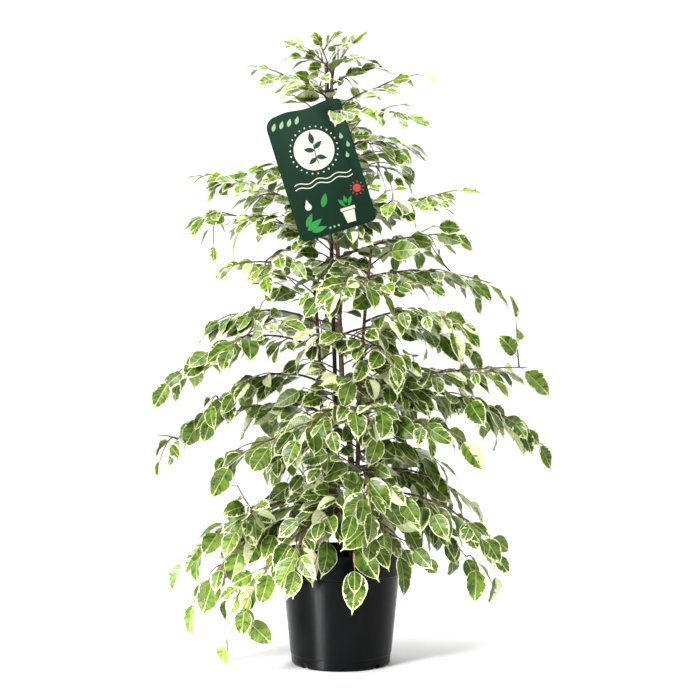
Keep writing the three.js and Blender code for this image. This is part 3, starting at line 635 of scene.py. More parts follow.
bed = peat_mesh()
print("the bed has", len(bed[1]), "faces and lies at", round(float(bed[0][:, 2].max()), 1), "mm")

# %% Crumbs and fibres
CRUMBS = {"count": 620, "reach": 93, "least": 0.8, "most": 3.4, "seed": 77}
FIBRES = {"count": 90, "length": (7, 20), "radius": 0.28, "seed": 91}


def ball():
    """The corners and faces of a ball of 80 triangles."""
    shape = bmesh.new()
    bmesh.ops.create_icosphere(shape, subdivisions=2, radius=1)
    points = np.array([v.co for v in shape.verts])
    faces = [tuple(v.index for v in f.verts) for f in shape.faces]
    shape.free()
    return points, faces


def on_peat(random):
    turn, radius = 2 * math.pi * random(), CRUMBS["reach"] * math.sqrt(random())
    return radius * math.cos(turn), radius * math.sin(turn)


def crumbs(shell):
    points, faces = ball()
    random = draws(CRUMBS["seed"])
    for _ in range(CRUMBS["count"]):
        x, y = on_peat(random)
        size = lerp(CRUMBS["least"], CRUMBS["most"], random() ** 3)
        lumps = np.array([0.72 + 0.5 * random() for _ in points])[:, None]
        stretch = np.array([0.8 + random(), 0.7 + 0.5 * random(), 0.45 + 0.35 * random()])
        turn = 2 * math.pi * random()
        lump = points * lumps * stretch * size
        turned_x = lump[:, 0] * math.cos(turn) - lump[:, 1] * math.sin(turn)
        turned_y = lump[:, 0] * math.sin(turn) + lump[:, 1] * math.cos(turn)
        shell.add(np.column_stack([turned_x + x, turned_y + y, lump[:, 2] + peat_height(x, y)]), faces)


def fibres(shell):
    random = draws(FIBRES["seed"])
    for _ in range(FIBRES["count"]):
        x, y = on_peat(random)
        turn, length = 2 * math.pi * random(), lerp(*FIBRES["length"], random())
        bend = 2 * (random() - 0.5)
        steps = np.linspace(-0.5, 0.5, 6)
        line = [(x + length * s * math.cos(turn + bend * s), y + length * s * math.sin(turn + bend * s))
                for s in steps]
        line = [(a, b, peat_height(a, b) + 0.5 + 1.2 * abs(s)) for (a, b), s in zip(line, steps)]
        if max(math.hypot(a, b) for a, b, _ in line) < CRUMBS["reach"]:
            shell.add(*tube(line, [FIBRES["radius"]] * 6, 5))


litter = Shell()
crumbs(litter)
fibres(litter)
print("litter:", CRUMBS["count"], "crumbs,", len(litter.faces), "faces")

# %% [markdown]
# Peat is nearly black where it is damp and warm brown where it has dried. Three noises, each of its
# own scale, mix the browns, and the finest of them is the crumbly bump as well.

# %% Peat material
def peat_material():
    r = Recipe("peat")
    place = r.place()
    damp = r.noise(place, 45, 5, 0.65)
    crumb = r.noise(place, 420, 4, 0.7)
    spots = r.noise(place, 190, 2)
    colour = r.mix(r.steps(damp, 0.35, 0.7), (0.010, 0.0055, 0.0035), (0.034, 0.018, 0.0095))
    colour = r.mix(r.steps(crumb, 0.5, 0.72), colour, (0.062, 0.034, 0.018))
    colour = r.mix(r.steps(spots, 0.66, 0.72), colour, (0.14, 0.085, 0.045))
    bump = r.add("Bump", {"Height": crumb, "Strength": 0.7, "Distance": 0.0015}).outputs[0]
    return r.finish(r.add("BsdfPrincipled", {
        "Base Color": colour, "Roughness": r.steps(damp, 0.3, 0.7, 0.75, 0.98), "Normal": bump,
        "Specular IOR Level": 0.3}))


PEAT_MATERIAL = peat_material()
add_piece("peat_bed", new_mesh("peat_bed", *bed, [PEAT_MATERIAL]), "peat", "peat")
litter_mesh = new_mesh("peat_litter", np.vstack(litter.points), litter.faces, [PEAT_MATERIAL])
add_piece("peat_litter", litter_mesh, "peat")
print("made the peat")

# %% [markdown]
# ## Bark and stems
# The stems are young wood: smooth and brown, with pale pores and faint rings like the scars that
# leaves leave. The oldest wood is a lighter brown, and the youngest tips are tan to olive. That age
# is stored as an attribute on each point, so one material serves stems and twigs alike.

# %% Bark material
def bark_material():
    r = Recipe("bark")
    place = r.place()
    along, age, _ = r.stored("wood_row")
    rings = r.math("SINE", r.math("MULTIPLY", along, 0.42))
    ring = r.steps(rings, 0.93, 0.995)
    patches = r.noise(place, 95, 4, 0.6)
    fine = r.noise(place, 900, 3, 0.6)
    cells = r.add("TexVoronoi", {"Vector": place, "Scale": 420.0}).outputs["Distance"]
    pores = r.steps(cells, 0.1, 0.24, 1, 0)
    old = r.mix(r.steps(patches, 0.35, 0.68), srgb(72, 54, 44), srgb(122, 90, 66))
    mid = r.mix(r.steps(patches, 0.35, 0.68), srgb(58, 41, 35), srgb(96, 64, 50))
    young = r.mix(r.steps(patches, 0.35, 0.68), srgb(112, 84, 52), srgb(128, 122, 66))
    colour = r.mix(r.steps(age, 0.05, 0.35), young, mid)
    colour = r.mix(r.steps(age, 0.55, 0.95), colour, old)
    colour = r.mix(r.math("MULTIPLY", pores, 0.55), colour, srgb(196, 168, 132))
    colour = r.mix(r.math("MULTIPLY", ring, 0.5), colour, srgb(66, 46, 38))
    relief = r.math("ADD", r.math("MULTIPLY", fine, 0.5), r.math("SUBTRACT", pores, ring))
    bump = r.add("Bump", {"Height": relief, "Strength": 0.35, "Distance": 0.0006}).outputs[0]
    return r.finish(r.add("BsdfPrincipled", {
        "Base Color": colour, "Roughness": r.steps(fine, 0.2, 0.8, 0.52, 0.72), "Normal": bump,
        "Specular IOR Level": 0.35}))


BARK = bark_material()


def set_vectors(mesh, name, rows):
    attribute = mesh.attributes.new(name, "FLOAT_VECTOR", "POINT")
    attribute.data.foreach_set("vector", np.asarray(rows, np.float32).ravel())


print("made", BARK.name)

# %% Stems
STEMS = [
    {"name": "stem_main", "foot": 6.2, "top": 2.4, "points": [
        [40, 2, 70], [37, 1, 200], [19, 0, 291], [16, -1, 344], [9, -2, 408], [3, -2, 450],
        [-2, 0, 560], [-6, 1, 700], [-11, 2, 830], [-16, 4, 952], [-12, 2, 1000]]},
    {"name": "stem_left", "foot": 4.8, "top": 2.2, "points": [
        [-27, 18, 75], [-24, 18, 190], [-29, 21, 320], [-34, 24, 450], [-43, 28, 600], [-55, 30, 720]]},
    {"name": "stem_right", "foot": 4.8, "top": 2.2, "points": [
        [14, -32, 75], [18, -31, 190], [27, -34, 320], [31, -36, 450], [40, -34, 580], [50, -30, 680]]},
]
MAIN, LEFT, RIGHT = 0, 1, 2
STEM_LINES = [np.array(stem["points"], float) for stem in STEMS]
STEM_SIDES = 16


def lengths_along(line):
    steps = np.linalg.norm(np.diff(line, axis=0), axis=1)
    return np.concatenate([[0], np.cumsum(steps)])


def stem_piece(stem, points):
    line = smooth_line(points, 14)
    share = np.linspace(0, 1, len(line))
    along = lengths_along(line)
    nodes = 1 + 0.07 * np.clip(np.sin(along * 0.21), 0.6, 1) + 0.03 * np.sin(along * 0.05)
    radii = lerp(stem["foot"], stem["top"], share) * nodes * 0.97
    shape, faces = tube(line, radii, STEM_SIDES, dome=stem["top"])
    reached = np.append(along, [along[-1]] * DOME_RINGS)
    place = np.append(np.repeat(reached, STEM_SIDES), [0, along[-1]])
    age = lerp(1.0, 0.62, place / along[-1])
    mesh = new_mesh(stem["name"] + "_wood", shape, faces, [BARK])
    set_vectors(mesh, "wood_row", np.column_stack([place, age, np.zeros(len(place))]))
    return add_piece(stem["name"] + "_wood", mesh, "bark", stem["name"])


for stem, points in zip(STEMS, STEM_LINES):
    print(stem_piece(stem, points).name, "of", round(lengths_along(points)[-1]), "mm")

# %% [markdown]
# ## Stake and tie
# The stake is a thin satin-black plastic rod. The tie is a moulded loop that goes round both the rod
# and the main stem, with a small cross bar that has a ball at each end. The loop is a rounded strip
# swept round a stadium shape, and the bar and balls are joined to it with a boolean union.

# %% Stake
STAKE = {
    "foot": (3, 9), "head": (-25, 9), "bottom": 3.6, "top": 1003, "floor": 3, "radius": 3.6, "dome": 2.2,
    "rings": 24, "sides": 24,
}


def stake_at(z):
    share = (z - STAKE["floor"]) / (STAKE["top"] - STAKE["floor"])
    x, y = (lerp(foot, head, share) for foot, head in zip(STAKE["foot"], STAKE["head"]))
    return np.array([x, y, z])


def black_plastic():
    r = Recipe("stake_plastic")
    place = r.place()
    wear = r.noise(place, 120, 4, 0.6)
    colour = r.mix(r.steps(wear, 0.45, 0.8), (0.0095, 0.0075, 0.0115), (0.03, 0.024, 0.034))
    fine = r.noise(place, 1500, 2)
    bump = r.add("Bump", {"Height": fine, "Strength": 0.15, "Distance": 0.0003}).outputs[0]
    return r.finish(r.add("BsdfPrincipled", {
        "Base Color": colour, "Roughness": r.steps(wear, 0.3, 0.8, 0.3, 0.46), "Normal": bump}))


STAKE_PLASTIC = black_plastic()
stake_heights = np.linspace(STAKE["bottom"], STAKE["top"] - STAKE["dome"], STAKE["rings"])
stake_line = [stake_at(z) for z in stake_heights]
stake_tube = tube(stake_line, [STAKE["radius"]] * STAKE["rings"], STAKE["sides"], dome=STAKE["dome"])
add_piece("stake_rod", new_mesh("stake_rod", *stake_tube, [STAKE_PLASTIC]), "stake_plastic", "stake")
print("stake from", STAKE["bottom"], "to", STAKE["top"], "mm")

# %% Tie
TIE = {
    "height": 953, "inner": 4.05, "wall": 1.6, "width": 5, "sides": 12, "arm": 24, "far_arm": 0.7,
    "bar": 1.3, "bar_rings": 12, "bar_sides": 16, "knob": 2.4,
}


def point_at_height(line, z):
    i = next(k for k in range(1, len(line)) if line[k][2] >= z) - 1
    return lerp(line[i], line[i + 1], (z - line[i][2]) / (line[i + 1][2] - line[i][2]))


def stadium(half, radius, steps):
    right = [(half + radius * math.cos(a), radius * math.sin(a))
             for a in np.linspace(-math.pi / 2, math.pi / 2, steps)]
    return right + [(-x, -y) for x, y in right]


def tie_loop(half):
    """A closed strip with a rounded section, swept round a stadium."""
    wall, width = TIE["wall"] / 2, TIE["width"] / 2
    section = [(wall * math.copysign(abs(math.cos(a)) ** 0.6, math.cos(a)),
                width * math.copysign(abs(math.sin(a)) ** 0.6, math.sin(a)))
               for a in 2 * math.pi * np.arange(TIE["sides"]) / TIE["sides"]]
    rings = [stadium(half, TIE["inner"] + wall + out, 14) for out, _ in section]
    count, sides = len(rings[0]), len(section)
    points = [(*rings[k][i], section[k][1]) for i in range(count) for k in range(sides)]
    faces = []
    for i in range(count):
        for k in range(sides):
            a, b = i * sides + k, i * sides + (k + 1) % sides
            c, d = ((i + 1) % count) * sides + (k + 1) % sides, ((i + 1) % count) * sides + k
            faces.append((a, b, c, d))
    return np.array(points), faces


def tie_mesh():
    stake, stem = stake_at(TIE["height"]), point_at_height(STEM_LINES[MAIN], TIE["height"])
    middle, half = lerp(stake, stem, 0.5), np.linalg.norm(stem - stake) / 2
    front = -TIE["inner"] - TIE["wall"] / 2
    far = TIE["arm"] * TIE["far_arm"]
    bar = [(x, front, 0) for x in np.linspace(-TIE["arm"], far, TIE["bar_rings"])]
    solids = [tie_loop(half), tube(bar, [TIE["bar"]] * TIE["bar_rings"], TIE["bar_sides"])]
    balls = [ball()[0] * TIE["knob"] + np.array([x, front, 0]) for x in (-TIE["arm"], far)]
    solids += [(points, ball()[1]) for points in balls]
    things = [solid_object("tie_part", *s) for s in solids]
    mesh = combine(things[0], things[1:], "UNION")
    turn = math.atan2(stem[1] - stake[1], stem[0] - stake[0])
    points = np.array([v.co for v in mesh.vertices]) / MM
    x = points[:, 0] * math.cos(turn) - points[:, 1] * math.sin(turn) + middle[0]
    y = points[:, 0] * math.sin(turn) + points[:, 1] * math.cos(turn) + middle[1]
    mesh.vertices.foreach_set("co", (np.column_stack([x, y, points[:, 2] + middle[2]]) * MM).ravel())
    mesh.materials.append(STAKE_PLASTIC)
    mesh.shade_smooth()
    mesh.update()
    return mesh


tie_piece = add_piece("tie_clip", tie_mesh(), "stake_plastic", "stake_tie")
print("tie of", len(tie_piece.data.polygons), "faces")

# %% [markdown]
# ## The care tag
# A die-cut card of 1 mm hangs on a twig by its hole. A real die leaves round corners, a slightly
# waved top edge and a thin slit from the hole to the edge, so that the card can be slipped on.
# The outline is drawn flat in the card's own frame, measured from the middle of the hole, and then
# turned with the card's lean. A rounded edge comes from a second outline set in by a fraction.

# %% Tag outline
TAG = {
    "hole": (-14, -85, 890), "lean": 17.2, "left": 107.5, "right": 20.5, "above": 26, "below": 182,
    "thick": 1, "round_edge": 0.22, "hole_radius": 8, "hole_turns": (-95, -445), "corner": 19,
    "top_corner": 7, "foot_corner": 10, "wave": 1.8, "waves": 3,
    "slit": [(1.1, -12.6), (7.2, -14), (14.8, -13.3)], "slit_width": 1.2, "mouth": -8.6,
}
LEAN = math.radians(TAG["lean"])


def arc(x, y, radius, start, end, steps):
    turns = np.radians(np.linspace(start, end, steps + 1))
    return [(x + radius * math.cos(a), y + radius * math.sin(a)) for a in turns]


def slit_edge(side):
    line = [(0, -TAG["hole_radius"]), *TAG["slit"], (TAG["right"], TAG["mouth"])]
    out = []
    for i, (x, y) in enumerate(TAG["slit"]):
        dx, dy = line[i + 2][0] - line[i][0], line[i + 2][1] - line[i][1]
        scale = side * TAG["slit_width"] / 2 / math.hypot(dx, dy)
        out.append((x - dy * scale, y + dx * scale))
    return out


def tag_outline():
    left, right, above, below = (TAG[k] for k in ("left", "right", "above", "below"))
    corner, top, foot = TAG["corner"], TAG["top_corner"], TAG["foot_corner"]
    shares = np.arange(1, 30) / 30
    wave = [(lerp(right - top, corner - left, s), above + TAG["wave"] * math.sin(s * math.pi * TAG["waves"]))
            for s in shares]
    return [
        *arc(right - foot, foot - below, foot, -90, 0, 10),
        (right, TAG["mouth"] - TAG["slit_width"]), *reversed(slit_edge(-1)),
        *arc(0, 0, TAG["hole_radius"], *TAG["hole_turns"], 30),
        *slit_edge(1), (right, TAG["mouth"] + TAG["slit_width"]),
        *arc(right - top, above - top, top, 0, 90, 8), *wave,
        *arc(corner - left, above - corner, corner, 90, 180, 12),
        *arc(foot - left, foot - below, foot, 180, 270, 10),
    ]


def tag_to_world(points):
    """Points (x, y, z) of the card's own frame, where y is its thickness, in the plant's frame."""
    x, y, z = np.asarray(points, float).T
    turned = [x * math.cos(LEAN) - z * math.sin(LEAN), y, x * math.sin(LEAN) + z * math.cos(LEAN)]
    return np.array(turned).T + np.array(TAG["hole"], float)


def set_in(outline, amount):
    """The outline moved inwards by a small amount, for an outline that runs anticlockwise."""
    p = np.asarray(outline, float)
    before, after = p - np.roll(p, 1, 0), np.roll(p, -1, 0) - p
    before /= np.linalg.norm(before, axis=1)[:, None]
    after /= np.linalg.norm(after, axis=1)[:, None]
    way = before + after
    way /= np.linalg.norm(way, axis=1)[:, None]
    return p + amount * np.column_stack([-way[:, 1], way[:, 0]])


def slab(layers):
    """A closed solid through outlines (points, y) of the same count, from the front to the back."""
    points = [(x, y, z) for outline, y in layers for x, z in outline]
    return np.array(points, float), flat_ended(len(layers), len(layers[0][0]))


outline = tag_outline()
print("the tag's outline has", len(outline), "points")

# %% [markdown]
# The print is a design of its own: a pale disc with a sprig in a ring of dots, a sun, raindrops, a
# potted seedling, loose leaves and two wavy lines, in cream, mint, green and coral inks.
# Screen-printed ink stands a little proud of its card, so each motif is a very thin solid.

# %% Ink shapes
INK = {"front": -0.5, "sunk": 0.12, "proud": 0.1, "sprig_over": 0.05}


def ink_slab(outline):
    return slab([(outline, INK["front"] - INK["proud"]), (outline, INK["front"] + INK["sunk"])])


def disc(x, z, radius, steps=48):
    return [(x + radius * math.cos(a), z + radius * math.sin(a))
            for a in 2 * math.pi * np.arange(steps) / steps]


def ribbon(line, width):
    """A flat strip along points, as an anticlockwise outline."""
    p = np.asarray(line, float)
    way = np.gradient(p, axis=0)
    way /= np.linalg.norm(way, axis=1)[:, None]
    side = np.column_stack([-way[:, 1], way[:, 0]]) * width / 2
    return [tuple(q) for q in np.vstack([p - side, (p + side)[::-1]])]


def leaf_outline(x, z, turn_degrees, length, width):
    turn = math.radians(turn_degrees)
    shares = np.linspace(0, 1, 13)
    half = width / 2 * np.sin(np.pi * shares**0.8)
    lower = [(s * length, -h) for s, h in zip(shares, half)]
    upper = [(s * length, h) for s, h in zip(shares, half)]
    return [(x + a * math.cos(turn) - b * math.sin(turn), z + a * math.sin(turn) + b * math.cos(turn))
            for a, b in lower + upper[-2:0:-1]]


def drop_outline(x, z, size):
    turns = np.linspace(-math.pi * 1.22, math.pi * 0.22, 17)
    return [(x + size * math.cos(a), z + size * math.sin(a)) for a in turns] + [(x, z + size * 2.3)]


def wavy(x0, x1, z, swing, waves):
    return [(x, z + swing * math.sin((x - x0) / (x1 - x0) * 2 * math.pi * waves))
            for x in np.linspace(x0, x1, 41)]


def sun(x, z, radius, rays):
    """A disc and its short rays."""
    shapes = [disc(x, z, radius)]
    for turn in np.linspace(0, 2 * math.pi, rays, endpoint=False):
        way = np.array([math.cos(turn), math.sin(turn)])
        shapes.append(ribbon([(x, z) + way * radius * s for s in (1.35, 1.6, 1.85)], 1.4))
    return shapes


def dotted_ring(x, z, radius, dots):
    turns = np.linspace(0, 2 * math.pi, dots, endpoint=False)
    return [disc(x + radius * math.cos(a), z + radius * math.sin(a), 1.3, 12) for a in turns]


def little_pot(x, z):
    """A pot seen from its side, with the middle of its foot at (x, z)."""
    wall = [(x - 7, z), (x + 7, z), (x + 10, z + 19), (x - 10, z + 19)]
    rim = [(x - 12, z + 20.2), (x + 12, z + 20.2), (x + 12, z + 25), (x - 12, z + 25)]
    return [wall, rim]


def sprig(x, z):
    """Five leaves and a stalk on the disc."""
    shapes = [ribbon([(x + 1, z - 23), (x, z - 8), (x + 1.5, z + 10)], 1.4)]
    places = [(-12, 206, 17), (-10, -24, 18), (0, 160, 18), (3, 30, 18), (11, 88, 20)]
    return shapes + [leaf_outline(x + 0.5, z + up, turn, length, length * 0.46)
                     for up, turn, length in places]


INKS = {
    "cream": [
        disc(-44, -44, 33), ribbon(wavy(-92, 4, -92, 2.2, 3), 1.5), ribbon(wavy(-92, 4, -99, 2.2, 3), 1.5),
        drop_outline(-80, -130, 5.4), *dotted_ring(-44, -44, 38.5, 26), *little_pot(-20, -173),
    ],
    "deep_green": sprig(-44, -45),
    "coral": sun(4, -123, 6.4, 10),
    "leaf_green": [
        leaf_outline(-58, -137, 62, 24, 10), leaf_outline(-92, -166, 24, 30, 11),
        leaf_outline(-86, -170, 4, 26, 9), leaf_outline(-92, -160, 52, 24, 9),
        *(leaf_outline(-20, -147, turn, 19, 7) for turn in (52, 90, 128)),
    ],
    "mint": [
        *(leaf_outline(x, 4, 58, 14, 6.4) for x in (-99, -86, -73, -60)),
        *(drop_outline(x, z, 3) for x, z in ((4, -36), (11, -52), (5, -68))),
        *(disc(x, -172, 1.8, 16) for x in (-56, -49, -42)),
    ],
}
print("inks:", {name: len(shapes) for name, shapes in INKS.items()})

# %% Card and ink materials
def card_material(name, colour, roughness, shine=0.2):
    r = Recipe(name)
    place = r.place()
    fibre = r.noise(place, 700, 4, 0.6)
    cloud = r.noise(place, 22, 3)
    darker, lighter = tuple(c * 0.93 for c in colour), tuple(min(1, c * 1.05) for c in colour)
    shade = r.mix(r.steps(cloud, 0.35, 0.7), darker, lighter)
    bump = r.add("Bump", {"Height": fibre, "Strength": 0.12, "Distance": 0.0003}).outputs[0]
    return r.finish(r.add("BsdfPrincipled", {
        "Base Color": shade, "Roughness": roughness, "Normal": bump, "Specular IOR Level": shine}))


CARD = card_material("tag_card", srgb(14, 40, 27), 0.7, 0.1)
INK_MATERIALS = {
    "cream": card_material("ink_cream", srgb(190, 194, 174), 0.55),
    "deep_green": card_material("ink_deep_green", srgb(20, 52, 36), 0.5),
    "coral": card_material("ink_coral", srgb(168, 60, 55), 0.5),
    "leaf_green": card_material("ink_leaf_green", srgb(44, 120, 56), 0.5),
    "mint": card_material("ink_mint", srgb(126, 160, 124), 0.5),
}


def sharpen(mesh, degrees):
    mesh.set_sharp_from_angle(angle=math.radians(degrees))


def tag_mesh():
    half, round_edge = TAG["thick"] / 2, TAG["round_edge"]
    inner = set_in(outline, round_edge)
    layers = [(inner, -half), (outline, -half + round_edge), (outline, half - round_edge), (inner, half)]
    points, faces = slab(layers)
    mesh = new_mesh("tag_card", tag_to_world(points), faces, [CARD])
    sharpen(mesh, 50)
    return mesh


def print_mesh():
    shell = Shell()
    for i, (ink, shapes) in enumerate(INKS.items()):
        for shape in shapes:
            points, faces = ink_slab(shape)
            points[: len(shape), 1] -= INK["sprig_over"] if ink == "deep_green" else 0
            shell.add(tag_to_world(points), faces, i)
    return new_mesh("tag_print", np.vstack(shell.points), shell.faces, INK_MATERIALS.values(),
                    shell.kinds, smooth=False)


add_piece("tag_card", tag_mesh(), "tag_card", "care_tag")
add_piece("tag_print", print_mesh(), "tag_card")
print("made the tag")

# %% [markdown]
# ## How the crown grows
# Each branch leaves its stem at some height, arches up and hangs down again under its own weight.
# A quadratic Bezier curve with its middle point pulled up gives that arch. Long branches carry one
# or two side shoots. Leaves stand left and right by turns, and the last one points ahead.
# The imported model's branches came from these rules. Where a branch or leaf would have touched
# another, the rule moved on to its next try. So the cells below list the tries, look in the packed
# node for the corners that each try would have, and keep the try that is there.

# %% Rules for the wood
UP = np.array([0, 0, 1.0])
LIGHT = np.array([0, -1.0, 0])  # the side that the plant's light came from
BRANCH = {"shifts": (0, 9, -9, 18, -18),
          "swings": (0, 6, -6, 12, -12, 18, -18, 26, -26, 34, -34), "foot": 2.3, "tip": 1.3, "steps": 5,
          "leaf_step": 24, "first_leaf": 0.22, "young_from": 840, "young_step": 0.42}
SHOOT = {"share": 0.36, "longest": 95, "ahead": 0.62, "spread": 0.8, "sag": 0.1, "rise": 0.1,
         "first_at": 0.42, "next_at": 0.26, "one_from": 200, "two_from": 300, "leaves": 3, "first_leaf": 0.5}
OUTLINE_BRANCHES = [
    (MAIN, 990, [12, -12, 1022], 14), (MAIN, 981, [-54, -16, 1018], 24),
    (MAIN, 972, [-30, -36, 1012], 22), (MAIN, 964, [42, 24, 998], 22),
    (MAIN, 938, [-94, -24, 972], 38), (MAIN, 926, [-62, -56, 956], 30),
    (MAIN, 914, [62, 18, 962], 36), (MAIN, 880, [104, -34, 905], 40),
    (MAIN, 846, [112, 34, 868], 40), (MAIN, 808, [100, 64, 826], 36),
    (MAIN, 768, [-136, 60, 818], 44), (MAIN, 728, [-220, -54, 802], 56),
    (MAIN, 692, [-224, 50, 744], 52), (MAIN, 712, [186, -72, 772], 44),
    (MAIN, 670, [196, 80, 722], 44), (LEFT, 640, [-174, -74, 650], 34),
    (MAIN, 620, [252, 22, 630], 54), (LEFT, 562, [-206, 64, 568], 44),
    (RIGHT, 560, [190, -108, 556], 34), (MAIN, 540, [216, 92, 524], 44),
    (LEFT, 515, [-286, -36, 462], 70), (LEFT, 462, [-276, 30, 366], 56),
    (RIGHT, 448, [304, -22, 486], 40), (RIGHT, 420, [342, 44, 356], 74),
    (LEFT, 410, [-150, 100, 412], 34), (LEFT, 360, [-178, -94, 330], 38),
    (RIGHT, 390, [192, -116, 372], 34), (RIGHT, 345, [168, 92, 300], 34),
    (RIGHT, 306, [216, 38, 262], 40), (RIGHT, 268, [232, -72, 214], 46),
    (MAIN, 236, [212, 38, 168], 46), (LEFT, 286, [-156, 54, 236], 34),
    (LEFT, 250, [-262, -10, 166], 44), (LEFT, 226, [-240, -58, 104], 50),
    (RIGHT, 228, [-178, -120, 58], 56), (RIGHT, 246, [-40, -128, 178], 32),
    (RIGHT, 216, [22, -128, 172], 32), (RIGHT, 238, [92, -108, 192], 34),
]
FILLING = {"count": 13, "low": 256, "high": 850,
           "azimuths": (84, -76, 128, -112, 48, -58, 104, -92, 70, -124), "behind_tag": 665,
           "reach": (200, 88), "rise": 40, "tip_drop": (0.3, -0.2), "leaf_step": 22, "first_leaf": 0.18}
TAG_TWIG = {"height": 858, "behind": [-14, -44, 889], "past": [4, -112, 893], "tip": [24, -130, 888],
            "leaves": 4, "first_leaf": 0.62, "number": 90, "hole_sides": 10, "gap": 0.3}


def clamp01(x):
    return min(1.0, max(0.0, x))


def taper(foot, tip, count):
    return [lerp(foot, tip, i / (count - 1)) for i in range(count)]


def length_of(line):
    return float(lengths_along(line)[-1])


def point_along(line, share):
    place = min(share * (len(line) - 1), len(line) - 1 - 1e-9)
    return lerp(line[int(place)], line[int(place) + 1], place - int(place))


def direction_along(line, share):
    i = min(int(share * (len(line) - 1)), len(line) - 2)
    return unit(line[i + 1] - line[i])


def arch(start, end, rise, steps):
    middle = lerp(start, end, 0.45)
    middle[2] = start[2] + rise
    t = np.linspace(0, 1, steps + 1)[:, None]
    return (1 - t) ** 2 * start + 2 * t * (1 - t) * middle + t**2 * end


def about_z(v, degrees):
    c, s = math.cos(math.radians(degrees)), math.sin(math.radians(degrees))
    return np.array([v[0] * c - v[1] * s, v[0] * s + v[1] * c, v[2]])


def side_shoots(line, number):
    length = length_of(line)
    count = 2 if length > SHOOT["two_from"] else 1 if length > SHOOT["one_from"] else 0
    shoots = []
    for i in range(count):
        share = SHOOT["first_at"] + SHOOT["next_at"] * i
        foot, ahead = point_along(line, share), direction_along(line, share)
        side = unit(np.cross(ahead, UP)) * (1 if (number + i) % 2 else -1)
        size = min(length * SHOOT["share"], SHOOT["longest"])
        end = foot + ahead * size * SHOOT["ahead"] + side * size * SHOOT["spread"]
        end = end - UP * size * SHOOT["sag"]
        shoots.append(np.array([foot, lerp(foot, end, 0.5) + UP * size * SHOOT["rise"], end]))
    return shoots


def branch_rows():
    rows = [{"stem": stem, "height": height, "tip": np.array(tip, float), "rise": rise,
             "leaf_step": BRANCH["leaf_step"], "first_leaf": BRANCH["first_leaf"]}
            for stem, height, tip, rise in OUTLINE_BRANCHES]
    for i in range(FILLING["count"]):
        share = i / (FILLING["count"] - 1)
        height = lerp(FILLING["low"], FILLING["high"], share)
        azimuth = FILLING["azimuths"][i % len(FILLING["azimuths"])]
        high = height > FILLING["behind_tag"]
        turn = math.radians(abs(azimuth) if high else azimuth)
        length, drop = lerp(*FILLING["reach"], share), lerp(*FILLING["tip_drop"], share)
        tip = np.array([length * math.cos(turn), length * math.sin(turn), height - drop * length])
        stem = MAIN if high else RIGHT if azimuth < 0 else LEFT
        rows.append({"stem": stem, "height": height, "tip": tip, "rise": FILLING["rise"],
                     "leaf_step": FILLING["leaf_step"], "first_leaf": FILLING["first_leaf"]})
    return rows


print(len(branch_rows()), "branches in the rules")

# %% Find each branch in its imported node
FOUND_WITHIN = 0.06  # mm


def corners_of(node):
    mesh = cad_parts[node].data
    tree = KDTree(len(mesh.vertices))
    for i, corner in enumerate(mesh.vertices):
        tree.insert(corner.co / MM, i)
    tree.balance()
    return tree


def matches(tree, points):
    return sum(tree.find(p)[2] < FOUND_WITHIN for p in points)


def stalk_corners(line, radii):
    """Where the corners of a three-sided stalk along the line are, without its two ends."""
    first = unit(line[1] - line[0])
    across, out = (np.array([1.0, 0, 0]) if abs(first[2]) > 0.9 else UP), []
    for i in range(1, len(line) - 1):
        ahead = unit(line[i + 1] - line[i - 1])
        across = unit(across - ahead * across.dot(ahead))
        beside = np.cross(ahead, across)
        for turn in 2 * math.pi * np.arange(3) / 3:
            out.append(line[i] + (across * math.cos(turn) + beside * math.sin(turn)) * radii[i])
    return out


def find_branch(row, number):
    name = f"branch_{number + 1:02d}"
    tree = corners_of(name)
    radii = taper(BRANCH["foot"], BRANCH["tip"], BRANCH["steps"] + 1)
    best = None
    for shift in BRANCH["shifts"]:
        if row["height"] + shift > STEM_LINES[row["stem"]][-1][2]:
            continue
        start = point_at_height(STEM_LINES[row["stem"]], row["height"] + shift)
        for swing in BRANCH["swings"]:
            end = start + about_z(row["tip"] + UP * shift - start, swing)
            line = arch(start, end, row["rise"], BRANCH["steps"])
            score = matches(tree, [line[-1], *stalk_corners(line, radii)])
            if best is None or score > best["score"]:
                best = {**row, "name": name, "number": number, "line": line, "score": score, "tree": tree,
                        "shoots": side_shoots(line, number), "tag": False}
    return best


def tag_twig():
    radii = taper(BRANCH["foot"], BRANCH["tip"], 5)
    seat = np.array(TAG["hole"], float)
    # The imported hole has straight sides. Its top is the middle of one, half a step from a corner.
    start, end = TAG["hole_turns"]
    half_step = math.radians((start - end) / 2 / TAG_TWIG["hole_sides"])
    seat[2] += TAG["hole_radius"] * math.cos(half_step) - radii[2] - TAG_TWIG["gap"]
    line = np.array([point_at_height(STEM_LINES[MAIN], TAG_TWIG["height"]), TAG_TWIG["behind"], seat,
                     TAG_TWIG["past"], TAG_TWIG["tip"]], float)
    tree = corners_of("branch_tag")
    return {"name": "branch_tag", "number": TAG_TWIG["number"], "line": line, "shoots": [], "tag": True,
            "tree": tree, "score": matches(tree, [line[-1], *stalk_corners(line, radii)])}


branches = [find_branch(row, number) for number, row in enumerate(branch_rows())] + [tag_twig()]
scores = [branch["score"] for branch in branches]
print("branches found:", sum(score >= 4 for score in scores), "least score", min(scores))

# %% [markdown]
# A leaf's pose is five draws: how far it hangs, how much it looks ahead, how much aside, how it is
# twisted and how long it is. One that looks further ahead also bends more along its midrib. Leaves
# low in the crown are longer and hang more. The drawn corners of the blade again tell which try is
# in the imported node.

